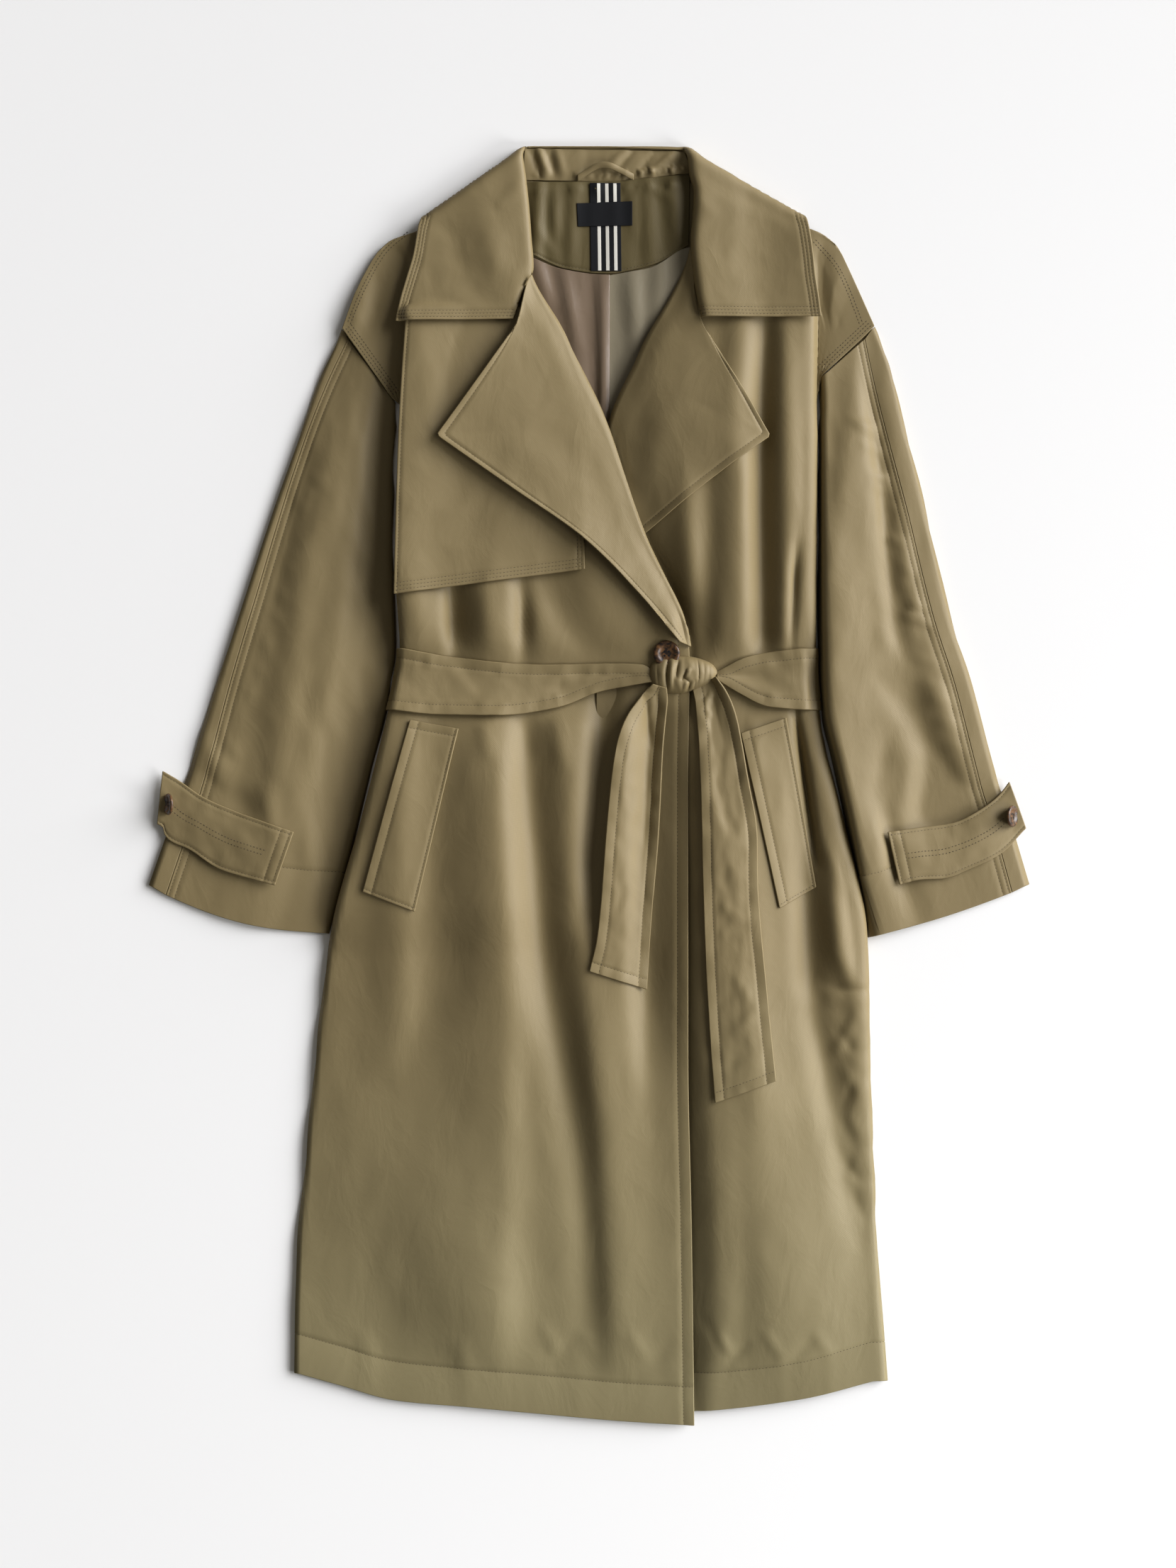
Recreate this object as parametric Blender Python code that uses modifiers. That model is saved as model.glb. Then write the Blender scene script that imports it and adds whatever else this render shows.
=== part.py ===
"""Belted trench coat, buttoned, tied and laid flat on its back.

The coat lies in the XY plane: +Y runs from the hem to the collar, +X to the wearer's left, and
+Z up from the surface it rests on. Every cloth piece is an open sheet with a Solidify wall.
Tables are in millimetres and become metres when a mesh is made.
"""
from collections import namedtuple
import math

import bmesh
import bpy
import numpy as np
from mathutils import Vector
from mathutils.bvhtree import BVHTree

MM = 0.001

# Driving dimensions, in millimetres
CLOTH = 1.2              # wall of a single layer
DOUBLE = 2.0             # wall of a layer with its facing: collar, lapels, belt, flap, straps
SATIN = 1.0              # wall of the lining, facing and tape
SEAM = 0.3               # gap between two pieces that are sewn together
LIFT = DOUBLE + SEAM     # how far the back is raised over the belt and the collar behind it
SIDE_ROLL = 14.0         # how far in from the side the body starts to round down
TURN_UNDER = 13.0        # how far the side turns in under the body, to the side seam
SLEEVE_ROLL = 12.0
SLEEVE_EDGE = 7.0        # height of a sleeve's outer fold
ROLL_LIP = 3.0           # how far a lapel's fold stands past the front that it turns back from
BELT_Y = 98.0            # middle of the belt
BELT_REACH = 45.0        # the back is lifted this far each side of the belt's middle
COLLAR_REACH = 440.0     # the back is lifted above this, over the turned-down collar
RAMP = 28.0              # length of each lift's slope
BUTTON_RADIUS = 13.0
CUFF_BUTTON_RADIUS = 10.0
BUTTON_DEPTH = 4.0
COLLAR_BACK = DOUBLE + 0.05  # inner face of the collar behind the back
LAPEL_ROWS = 13
CORNER_ROW = 4           # the row of a lapel's grid that ends at its outer corner
KNOT_SIZE = (62.0, 40.0, 13.0)
CLEARANCE = SEAM + 0.1   # least height of a laid piece over what carries it
SAMPLES = 9              # places tested along each side of a facet that is laid on another piece

KHAKI = (0.25, 0.20, 0.115)
KHAKI_DARK = (0.17, 0.13, 0.065)
SATIN_ROSE = (0.23, 0.17, 0.125)
SATIN_GREY = (0.20, 0.185, 0.14)
INK = (0.012, 0.013, 0.018)
HORN = (0.06, 0.025, 0.012)

Point = namedtuple("Point", "x y")
Fold = namedtuple("Fold", "name height left right path")
Level = namedtuple("Level", "y side edge")
Station = namedtuple("Station", "roll_x roll_y outer_x outer_y level")
Row = namedtuple("Row", "y edge_y")

# Outline lines, from the collar down to the hem. "right" is the wearer's right, at -X.
SIDE_RIGHT = (Point(-172, 505), Point(-171, 425), Point(-173, 353), Point(-177, 268),
              Point(-177, 190), Point(-173, 126), Point(-177, 98), Point(-183, 70),
              Point(-207, -27), Point(-236.5, -136), Point(-256, -296), Point(-271, -466),
              Point(-273, -540))
SIDE_LEFT = (Point(210, 510), Point(212, 428), Point(211, 268), Point(210, 126), Point(211, 98),
             Point(213, 68), Point(236, -34), Point(257, -136), Point(260, -256),
             Point(267, -414), Point(276, -545))
EDGE_RIGHT = (Point(-57, 554), Point(-56, 487), Point(-19, 412), Point(18, 340), Point(54, 234),
              Point(94, 122), Point(92, 0), Point(92, -250), Point(95, -400), Point(98, -590))
EDGE_LEFT = (Point(98, 560), Point(96, 501), Point(47, 399), Point(18, 328), Point(8, 230),
             Point(8, 122), Point(10, -100), Point(14, -580))
SHOULDER_RIGHT = (Point(-158, 511), Point(-124, 536), Point(-60, 554))
SHOULDER_LEFT = (Point(101, 560), Point(150, 544), Point(196, 517))
HEM_RIGHT = (Point(-260, -544), Point(-229, -553), Point(-178, -567), Point(-111, -573),
             Point(-35, -580), Point(33, -586), Point(98, -590))
HEM_LEFT = (Point(14, -580), Point(100, -577), Point(193, -566), Point(262, -549))
ARMHOLE_RIGHT = (Point(-226, 422), Point(-179, 356))
ARMHOLE_LEFT = (Point(264, 424), Point(213, 381))
SHOULDER_TIP_RIGHT = (Point(-175, 508), Point(-194, 492), Point(-211, 462), Point(-226, 422))
SHOULDER_TIP_LEFT = (Point(210, 513), Point(229, 499), Point(249, 458), Point(264, 424))

# Rows of the body: y at the side, and y at the front edge
BODY_ROWS = (Row(505, 554), Row(478, 526), Row(450, 496), Row(422, 464), Row(388, 425),
             Row(353, 386), Row(315, 345), Row(270, 296), Row(225, 246), Row(186, 202),
             Row(154, 162), Row(126, 128), Row(98, 98), Row(70, 66), Row(40, 34), Row(0, -6),
             Row(-60, -70), Row(-120, -134), Row(-180, -198), Row(-240, -262), Row(-300, -328),
             Row(-360, -394), Row(-420, -460), Row(-480, -526), Row(-540, -590))
ARMHOLE_ROW = 5          # the body row that ends at the foot of the armhole

LEVELS_RIGHT = (Level(554, 5.5, 6), Level(505, 5.5, 7), Level(430, 14, 9), Level(353, 17, 12),
                Level(268, 18, 14), Level(175, 18, 16), Level(135, 14, 15), Level(98, 10, 12),
                Level(60, 13, 14), Level(0, 16, 17), Level(-200, 17, 19), Level(-400, 13, 17),
                Level(-500, 10, 12), Level(-590, 6.5, 8.5))
LEVELS_LEFT = (Level(560, 6, 5.5), Level(505, 6, 5.5), Level(430, 15, 12), Level(353, 18, 15),
               Level(268, 19, 16), Level(175, 18, 17), Level(135, 14, 15), Level(98, 10, 11),
               Level(60, 13, 13), Level(0, 16, 17), Level(-200, 17, 18), Level(-400, 14, 15),
               Level(-500, 10, 11), Level(-590, 6.5, 8))

FOLDS_RIGHT = (
    Fold("chest_outer", 4, 16, 22, (Point(-150, 420), Point(-146, 300), Point(-158, 190))),
    Fold("waist_outer", -4, 20, 16, (Point(-124, 180), Point(-124, 130))),
    Fold("waist_middle", 5, 18, 18, (Point(-88, 200), Point(-88, 130))),
    Fold("waist_dip", -4, 16, 16, (Point(-58, 190), Point(-58, 130))),
    Fold("waist_inner", 5, 18, 34, (Point(-30, 200), Point(-28, 130))),
    Fold("hip_outer", -4, 26, 26, (Point(-116, 50), Point(-138, -170), Point(-150, -300))),
    Fold("skirt_main", 7, 44, 30, (Point(-88, 45), Point(-81, -160), Point(-70, -300),
                                   Point(-48, -440))),
    Fold("skirt_dip", -5, 18, 18, (Point(-48, 45), Point(-42, -160), Point(-26, -256),
                                   Point(-10, -355), Point(-5, -450))),
    Fold("skirt_inner", 5, 22, 26, (Point(-8, 20), Point(6, -160), Point(22, -256),
                                    Point(32, -355), Point(42, -450))),
)
FOLDS_LEFT = (
    Fold("chest_inner", 4, 16, 16, (Point(98, 330), Point(100, 140))),
    Fold("chest_dip", -4, 14, 14, (Point(114, 420), Point(116, 140))),
    Fold("chest_middle", 5, 18, 18, (Point(140, 425), Point(142, 140))),
    Fold("chest_outer_dip", -5, 15, 15, (Point(165, 425), Point(168, 140))),
    Fold("side_ridge", 4, 18, 14, (Point(192, 425), Point(194, 140))),
    Fold("skirt_edge", 5, 16, 18, (Point(116, 20), Point(114, -250), Point(122, -450))),
    Fold("skirt_dip", -5, 18, 18, (Point(142, -60), Point(146, -250), Point(150, -450))),
    Fold("skirt_main", 7, 26, 30, (Point(162, 0), Point(172, -200), Point(176, -440))),
    Fold("hip_dip", -5, 16, 16, (Point(206, 0), Point(212, -160), Point(226, -300))),
)
SLEEVE_FOLDS_RIGHT = (
    Fold("outer_ridge", 3, 26, 18, (Point(-262, 270), Point(-285, 100), Point(-300, 0))),
    Fold("inner_ridge", 4, 22, 22, (Point(-226, 200), Point(-232, 60), Point(-246, -60))),
)
SLEEVE_FOLDS_LEFT = (
    Fold("inner_ridge", 6, 22, 30, (Point(240, 400), Point(240, 150), Point(252, -20))),
    Fold("outer_dip", -4, 22, 24, (Point(284, 300), Point(296, 120), Point(318, 0))),
)

SLEEVE_RIGHT = dict(
    outer=(Point(-226.6, 421.3), Point(-248, 372), Point(-278, 289), Point(-317, 176),
           Point(-343, 97), Point(-369, 9), Point(-393, -53), Point(-406, -91)),
    seam=(Point(-222, 413), Point(-243, 368), Point(-273, 287), Point(-308, 172),
          Point(-331, 94), Point(-354, 9), Point(-376, -57), Point(-390, -97)),
    inner=(Point(-179.6, 355.3), Point(-182, 268), Point(-182, 169), Point(-184, 97),
           Point(-203, 12), Point(-221, -60), Point(-231, -100), Point(-240, -136)),
    side=-1, level=15.0, bow=11.0, folds=SLEEVE_FOLDS_RIGHT)
SLEEVE_LEFT = dict(
    outer=(Point(265, 422.3), Point(278, 390), Point(290, 340), Point(307, 274), Point(335, 156),
           Point(354, 97), Point(375, 19), Point(394, -47), Point(407, -91)),
    seam=(Point(256, 412.5), Point(264, 375), Point(275, 330), Point(293, 261), Point(320, 152),
          Point(339, 93), Point(360, 12), Point(380, -54), Point(392, -97)),
    inner=(Point(217.8, 375.5), Point(217.8, 350), Point(216.5, 330), Point(216, 268),
           Point(216, 200), Point(217, 120), Point(219, 70), Point(229, 25), Point(242, -34),
           Point(262, -139)),
    side=1, level=16.0, bow=3.2, folds=SLEEVE_FOLDS_LEFT)
SLEEVE_ROWS = 10

# Pieces laid on the panels: a left and a right line, or four corners from the top left clockwise
STORM_FLAP = ((Point(-166, 440), Point(-170, 350), Point(-173, 268), Point(-173, 176)),
              (Point(-42, 440), Point(-26, 390), Point(-6, 310), Point(-3, 199)))
LAPEL_RIGHT = (474, 128,
               (Point(-65, 424), Point(-100, 374), Point(-138, 321)),
               (Point(-138, 321), Point(-71, 274), Point(-3, 226), Point(47, 176), Point(84, 132)))
LAPEL_LEFT = (495, 214,
              (Point(102, 427), Point(136, 374), Point(167, 321)),
              (Point(167, 321), Point(112, 281), Point(54, 234), Point(18, 206)))
WELT_RIGHT = (Point(-163, 60), Point(-119, 52), Point(-159, -115), Point(-206, -97))
WELT_LEFT = (Point(141, 48), Point(182, 62), Point(210, -93), Point(176, -112))
TAIL_RIGHT = ((Point(60, 86), Point(42, 80), Point(31, 54), Point(24, 21), Point(18, -34),
               Point(9, -139), Point(2, -170)),
              (Point(72, 84), Point(60, 71), Point(58, 45), Point(67, -7), Point(65, -44),
               Point(58, -126), Point(54, -187)))
TAIL_LEFT = ((Point(100, 84), Point(100, 72), Point(102, 40), Point(105, -89), Point(107, -125),
              Point(112, -224), Point(117, -290)),
             (Point(118, 84), Point(134, 63), Point(146, 2), Point(155, -73), Point(164, -191),
              Point(172, -270)))
STRAP_RIGHT = (Point(-392, 13), Point(-271, -41), Point(-288, -91), Point(-397, -37))
STRAP_LEFT = (Point(273, -42), Point(389, 3), Point(405, -38), Point(285, -90))
BELT_ROWS = (126.0, 98.0, 70.0)
KNOT_LIFT = 10.5         # height of the knot's middle over the highest cloth under it
LOOP_PATH = (Point(-7, 561), Point(15, 571), Point(41, 561.5))
LOOP_WIDTH = 3.0

# The collar's fall, station by station from the wearer's right front round the back.
# level is the least height of the cloth's inner face there.
COLLAR = (
    Station(-69, 429, -176, 427, 14), Station(-60, 453, -172, 447, 14),
    Station(-51, 478, -166, 468, 13), Station(-53, 505, -160, 489, 12),
    Station(-55, 532, -157, 506, 11), Station(-58, 560, -155, 517, 9),
    Station(-60, 580, -153, 522, 8), Station(-58, 586, -150, 525, 5),
    Station(-56, 586, -147, 522, COLLAR_BACK), Station(-45, 586, -120, 500, COLLAR_BACK),
    Station(-20, 586, -60, 482, COLLAR_BACK), Station(15, 586, 18, 478, COLLAR_BACK),
    Station(54, 586, 100, 482, COLLAR_BACK), Station(78, 586, 165, 500, COLLAR_BACK),
    Station(88, 586, 195, 522, COLLAR_BACK), Station(90, 586, 198, 525, 5),
    Station(92, 580, 201, 522, 8), Station(95, 564, 203, 515, 9),
    Station(99, 546, 205, 503, 11), Station(98, 524, 207, 488, 12),
    Station(96, 501, 209, 468, 13), Station(99, 466, 212, 448, 14),
    Station(105, 431, 214, 431, 14))
COLLAR_ACROSS = (0.0, 0.012, 0.06, 0.30, 0.53, 0.77, 1.0)
COLLAR_TURN_RIGHT = 7        # the station where the collar goes round to the back, and the next
COLLAR_TURN_LEFT = 15


def line_at(line, y):
    """x of an outline line where it passes height y; the line runs from high y to low y."""
    return np.interp(-np.asarray(y, float), [-p.y for p in line], [p.x for p in line])


def along(line, fractions):
    """Points of an outline line at fractions of its length, as an array of x, y."""
    points = np.array(line, float)
    steps = np.hypot(*np.diff(points, axis=0).T)
    length = np.concatenate(([0.0], np.cumsum(steps)))
    at = np.asarray(fractions, float) * length[-1]
    return np.stack([np.interp(at, length, points[:, 0]), np.interp(at, length, points[:, 1])], -1)


def patch(left, right, top, bottom, across):
    """A grid between two side lines given row by row, eased to the top and bottom lines."""
    across = np.asarray(across, float)[None, :, None]
    grid = left[:, None] * (1 - across) + right[:, None] * across
    down = np.linspace(0, 1, len(left))[:, None, None]
    grid = grid + (1 - down) ** 4 * (top[None] - grid[:1])
    return grid + down ** 4 * (bottom[None] - grid[-1:])


def ease(value):
    value = np.clip(value, 0, 1)
    return value * value * (3 - 2 * value)


def lift(y):
    """How far the back is raised at y, over the belt behind it and over the collar."""
    over_belt = 1 - ease((np.abs(y - BELT_Y) - BELT_REACH) / RAMP)
    over_collar = ease((y - COLLAR_REACH + RAMP) / RAMP)
    return LIFT * np.maximum(over_belt, over_collar)


def fold_heights(x, y, folds):
    """Sum of soft ridges and troughs, each with its own width on either side of its line."""
    total = np.zeros_like(x)
    for fold in folds:
        offset = x - line_at(fold.path, y)
        width = np.where(offset < 0, fold.left, fold.right)
        high, low = fold.path[0].y, fold.path[-1].y
        fade = ease((high + 20 - y) / 40) * ease((y - low + 20) / 40)
        total += fold.height * fade * np.exp(-(offset / width) ** 2)
    return total


def level_at(levels, y, share):
    """Height of the cloth at y, shared between its side value and its edge value."""
    heights = [-level.y for level in levels]
    side = np.interp(-y, heights, [level.side for level in levels])
    edge = np.interp(-y, heights, [level.edge for level in levels])
    return side * (1 - share) + edge * share


def side_turn(x, y, top, low, side, roll, under):
    """Columns of cloth that round down at a side and turn in under the body."""
    middle, half = (top + low) / 2, (top - low) / 2
    columns = []
    for angle in (45, 90, 140):
        turn = math.radians(angle)
        columns.append((x - side * roll * (1 - math.sin(turn)), y, middle + half * math.cos(turn)))
    columns.append((x - side * under * 0.6, y, low))
    columns.append((x - side * under, y, low))
    return np.stack([np.stack(column, -1) for column in columns], 1)


def shoulder_turn(x, y, top, low, side, end):
    """Columns of cloth that drop from the chest fold and run out to the armhole seam."""
    reach = side * 4 * np.clip(1 - np.arange(len(x)) / ARMHOLE_ROW, 0, 1)
    columns = [(x - side * 7, y, top * 0.8 + low * 0.2), (x - side * 2, y, top * 0.3 + low * 0.7),
               (x + reach, y, low)]
    start_x, start_y = x + reach, y
    for share in (0.5, 1.0):
        columns.append((start_x + (end[:, 0] - start_x) * share,
                        start_y + (end[:, 1] - start_y) * share, low + 2.7 * share))
    return np.stack([np.stack(column, -1) for column in columns], 1)


def sheet(name, grid, wall, colour, roughness=0.55):
    """A cloth piece: a grid of points in millimetres with a wall on the side its normals face."""
    rows, columns = grid.shape[:2]
    mesh = bpy.data.meshes.new(name)
    faces = [(r * columns + c, (r + 1) * columns + c, (r + 1) * columns + c + 1, r * columns + c + 1)
             for r in range(rows - 1) for c in range(columns - 1)]
    mesh.from_pydata([Vector(point) * MM for point in grid.reshape(-1, 3)], [], faces)
    mesh.shade_smooth()
    piece = bpy.data.objects.new(name, mesh)
    solidify = piece.modifiers.new("wall", "SOLIDIFY")
    solidify.thickness = wall * MM
    solidify.offset = 1.0
    return finish(piece, colour, roughness)


def finish(piece, colour, roughness):
    """Puts a piece in the coat's collection and gives it its own material."""
    COAT.objects.link(piece)
    material = bpy.data.materials.new(piece.name)
    material.use_nodes = True
    shader = material.node_tree.nodes["Principled BSDF"]
    shader.inputs["Base Color"].default_value = (*colour, 1.0)
    shader.inputs["Roughness"].default_value = roughness
    shader.inputs["Metallic"].default_value = 0.0
    piece.data.materials.append(material)
    return piece


def trees_of(names):
    bpy.context.view_layer.update()
    depsgraph = bpy.context.evaluated_depsgraph_get()
    return [BVHTree.FromObject(COAT.objects[name], depsgraph) for name in names]


def facet_weights(count):
    """Shares of a facet's corners at a raster of places, for either way of halving the facet."""
    weights = []
    for a in steps(count):
        for b in steps(count):
            if a >= b:
                weights.append((1 - a, a - b, 0, b))
            else:
                weights.append((1 - b, 0, b - a, a))
            if a + b <= 1:
                weights.append((1 - a - b, a, b, 0))
            else:
                weights.append((0, 1 - b, 1 - a, a + b - 1))
    return np.array(weights)


def laid_on(grid, carriers, rows=None, columns=None):
    """Raises a grid of points until the sheet through them clears what lies under it."""
    trees = trees_of(carriers)
    grid = grid.copy()
    rows = range(len(grid) - 1) if rows is None else rows
    columns = range(grid.shape[1] - 1) if columns is None else columns
    weights = facet_weights(SAMPLES)
    facets = []
    for r in rows:
        for c in columns:
            corners = ((r, r + 1, r, r + 1), (c, c, c + 1, c + 1))
            flat = weights @ grid[corners][:, :2]
            facets.append((corners, np.array([top_surface(trees, *at) + CLEARANCE for at in flat])))
    for _ in range(60):
        for corners, surface in facets:
            heights = weights @ grid[corners][:, 2]
            worst = int(np.argmax(surface - heights))
            short = surface[worst] - heights[worst]
            if short > 0.001:
                share = weights[worst]
                grid[(*corners, 2)] += short * share / np.sum(share * share)
    return grid


def top_surface(trees, x, y):
    """Height of the highest carrier at x, y, or zero where there is none."""
    height = 0.0
    for tree in trees:
        hit = tree.ray_cast(Vector((x * MM, y * MM, 1.0)), Vector((0, 0, -1)))
        if hit[0] is not None:
            height = max(height, hit[0].z / MM)
    return height


def steps(count):
    return np.linspace(0, 1, count + 1)


def row_points(line, heights):
    return np.stack([line_at(line, heights), np.asarray(heights, float)], -1)


def front(name, side, side_line, edge_line, shoulder, hem, tip, armhole, levels, folds, lap):
    """One front of the coat with its shoulder: a field, and the columns that end its side."""
    side_y = np.array([row.y for row in BODY_ROWS], float)
    edge_y = np.array([row.edge_y for row in BODY_ROWS], float)
    low = CLOTH + 0.05 + lift(side_y)
    fold_line = row_points(side_line, side_y) - np.array([side * SIDE_ROLL, 0])
    edge = row_points(edge_line, edge_y)
    open_edge = edge_y > BELT_Y
    edge[open_edge, 0] += side * ROLL_LIP
    across = steps(9) ** 0.9
    if side > 0:
        left, right, fractions = edge, fold_line, 1 - across[::-1]
    else:
        left, right, fractions = fold_line, edge, across
    field = patch(left, right, along(shoulder, fractions), along(hem, fractions), fractions)
    x, y = field[..., 0], field[..., 1]
    share = fractions if side < 0 else 1 - fractions
    z = level_at(levels, y, share[None, :]) + lap(x, y)
    z = z + fold_heights(x, y, folds) * ease((y + 590) / 90)
    field = np.dstack([x, y, np.maximum(z, 3.0 + lift(y) * 0.6)])

    column = 0 if side < 0 else -1
    start = field[:, column]
    turned = side_turn(start[:, 0] + side * SIDE_ROLL, start[:, 1], start[:, 2], low, side,
                       SIDE_ROLL, TURN_UNDER)
    ends = np.vstack([along(armhole, steps(ARMHOLE_ROW)),
                      np.zeros((len(BODY_ROWS) - ARMHOLE_ROW - 1, 2))])
    spread = shoulder_turn(start[:, 0] + side * SIDE_ROLL, start[:, 1], start[:, 2],
                           np.full_like(low, CLOTH + LIFT + 0.8), side, ends)
    spread[0, :, :2] = along(tip, (0.08, 0.16, 0.24, 0.62, 1.0))
    strip = np.where((np.arange(len(start)) < ARMHOLE_ROW + 1)[:, None, None], spread, turned)
    if side < 0:
        grid = np.concatenate([strip[:, ::-1], field], 1)
    else:
        grid = np.concatenate([field, strip], 1)
    sheet(name, grid, CLOTH, KHAKI)
    return strip[:, -1]


def lap_left(x, y):
    """The left front dips where the right front lies over it, and near its own roll line."""
    start = np.maximum(line_at(EDGE_LEFT, y), line_at(EDGE_RIGHT, y) + 3)
    reach = np.interp(y, (100, 330), (32, 60))
    full = level_at(LEVELS_LEFT, y, 1.0)
    return -(full - 4.2 - lift(y)) * (1 - ease((x - start) / reach))


def back_panel(right_ends, left_ends):
    """The back, flat on the surface, lifted over the belt and the collar that lie under it."""
    inward = np.full(len(right_ends), SEAM)
    inward[:ARMHOLE_ROW + 2] = (1.8, 1.6, 1.2, 1.2, 1.2, 3.0, 3.0)
    left = right_ends[:, :2] + np.outer(inward, (1, 0.3))
    right = left_ends[:, :2] + np.outer(inward, (-1, 0.3))
    inset = np.array([0, -3.5])
    top = [Point(*left[0])] + [Point(*p) for p in SHOULDER_TIP_RIGHT[2:0:-1]]
    top += [Point(*p) for p in SHOULDER_RIGHT] + [Point(18, 556)] + [Point(*p) for p in SHOULDER_LEFT]
    top += [Point(*p) for p in SHOULDER_TIP_LEFT[1:3]] + [Point(*right[0])]
    fractions = steps(6)
    bottom = (Point(*left[-1]), Point(-150, -566), Point(98, -574), Point(*right[-1]))
    field = patch(left, right, along(top, fractions) + inset, along(bottom, fractions), fractions)
    z = lift(field[..., 1])
    sheet("back_panel", np.dstack([field, z]), CLOTH, KHAKI_DARK)


def sleeve(name, outer, seam, inner, side, level, bow, folds):
    """A two-piece sleeve: a front piece, and a back piece that wraps over the outer fold."""
    rows = steps(SLEEVE_ROWS)
    outer_line, seam_line, inner_line = along(outer, rows), along(seam, rows), along(inner, rows)
    width = np.hypot(*(outer_line - inner_line).T)
    tilt = (outer_line - inner_line) / width[:, None]
    low = np.full(len(rows), CLOTH + 0.05)
    near = np.hypot(*(seam_line - outer_line).T)

    def height(points, from_outer):
        x, y = points[..., 0], points[..., 1]
        rise = ease(from_outer / (0.35 * width[:, None]))
        cuff = 1 - 0.45 * ease((rows - 0.8) / 0.2)
        cap = 0.55 + 0.45 * ease(rows / 0.2)
        top = SLEEVE_EDGE + (level * cuff * cap - SLEEVE_EDGE)[:, None] * rise
        return top + fold_heights(x, y, folds) * (cuff * cap)[:, None]

    def field(start, end, share):
        share = np.asarray(share)[None, :, None]
        points = start[:, None] * (1 - share) + end[:, None] * share
        from_outer = np.hypot(points[..., 0] - outer_line[:, None, 0],
                              points[..., 1] - outer_line[:, None, 1])
        return np.dstack([points, height(points, from_outer)])

    def rounded(line, direction, top, roll, angles):
        middle, half = (top + low) / 2, (top - low) / 2
        columns = []
        for angle in angles:
            turn = math.radians(angle)
            point = line + direction * (roll * (1 - math.sin(turn)))[:, None]
            columns.append(np.column_stack([point, middle + half * math.cos(turn)]))
        return np.stack(columns, 1)

    def floor(line):
        return np.column_stack([line, low])

    roll = np.full(len(rows), SLEEVE_ROLL)
    front_end = inner_line + tilt * SLEEVE_ROLL
    gap_line = seam_line - tilt * SEAM * 3
    face = field(gap_line, front_end, steps(7))
    turn = rounded(inner_line, tilt, face[:, -1, 2], roll, (45, 90, 140))
    under = np.stack([floor(inner_line + tilt * TURN_UNDER * 0.6),
                      floor(inner_line + tilt * TURN_UNDER)], 1)
    front_grid = np.concatenate([face, turn, under], 1)

    edge_roll = np.minimum(SLEEVE_ROLL, near * 0.8)
    strip = field(outer_line - tilt * edge_roll[:, None], seam_line, (0.0, 1.0))
    wrap = rounded(outer_line, -tilt, strip[:, 0, 2], edge_roll, (140, 90, 45))
    start = inner_line + tilt * (TURN_UNDER + SEAM)
    end = outer_line - tilt * (edge_roll * 0.9)[:, None]
    flat = np.stack([floor(start * (1 - share) + end * share) for share in steps(3)], 1)
    back_grid = np.concatenate([flat, wrap, strip], 1)

    for grid in (front_grid, back_grid):
        from_outer = np.hypot(*(grid[..., :2] - outer_line[:, None]).T).T
        share = np.clip(from_outer / width[:, None], 0, 1)
        grid[..., 1] -= bow * np.sin(np.pi * share) * ease((rows - 0.7) / 0.3)[:, None]
    if side > 0:
        front_grid, back_grid = front_grid[:, ::-1], back_grid[:, ::-1]
    sheet(name + "_front", front_grid, CLOTH, KHAKI)
    sheet(name + "_back", back_grid, CLOTH, KHAKI_DARK)


def four_sided(top_left, top_right, bottom_right, bottom_left, rows, columns):
    """A flat grid between four corner points, in rows from the top and columns from the left."""
    down, across = steps(rows)[:, None, None], steps(columns)[None, :, None]
    corners = [np.array(corner, float) for corner in (top_left, top_right, bottom_right, bottom_left)]
    upper = corners[0] * (1 - across) + corners[1] * across
    lower = corners[3] * (1 - across) + corners[2] * across
    return upper * (1 - down) + lower * down


def between(left_line, right_line, rows, columns):
    """A flat grid between two lines that run downwards."""
    fractions = steps(rows)
    left, right = along(left_line, fractions)[:, None], along(right_line, fractions)[:, None]
    across = steps(columns)[None, :, None]
    return left * (1 - across) + right * across


def at_height(flat, height):
    return np.dstack([flat, np.full(flat.shape[:2], float(height))])


def patch_piece(name, flat, carriers, wall, colour, roughness=0.55):
    """A piece laid on the pieces under it."""
    return sheet(name, laid_on(at_height(flat, 0), carriers), wall, colour, roughness)


def lapel(name, side, edge, high, low, outer_top, outer_low, front_name, carriers):
    """A lapel that rolls round the edge of its front and lies back on it."""
    trees = trees_of([front_name])
    rolled = row_points(edge, high + (low - high) * steps(LAPEL_ROWS) ** 0.7)
    outer = np.vstack([along(outer_top, steps(CORNER_ROW)),
                       along(outer_low, steps(LAPEL_ROWS - CORNER_ROW))[1:]])
    rows = []
    for at, end in zip(rolled, outer):
        width = np.hypot(*(end - at))
        inward = (end - at) / width
        inset = min(1.0, width / 16)
        height = top_surface(trees, *(at + inward * 6 * inset + np.array([side * 1.5, 0])))
        row = [(*(at + inward * 1.2 * inset), height - 1.0), (*(at + inward * 0.6 * inset), height)]
        row.append((*(at + inward * 3.4 * inset), height + 1.8))
        for share in (0.14, 0.34, 0.56, 0.78, 1.0):
            reach = 3.4 * inset + (width - 3.4 * inset) * share
            point = at + inward * reach
            loft = 2.0 * math.exp(-reach / 14)
            row.append((*point, top_surface(trees, *point) + 0.35 + loft))
        rows.append(row)
    grid = np.array(rows)
    grid = laid_on(grid, carriers, columns=range(1, grid.shape[1] - 1))
    if side < 0:
        grid = grid[:, ::-1]
    sheet(name, grid, DOUBLE, KHAKI)


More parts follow.
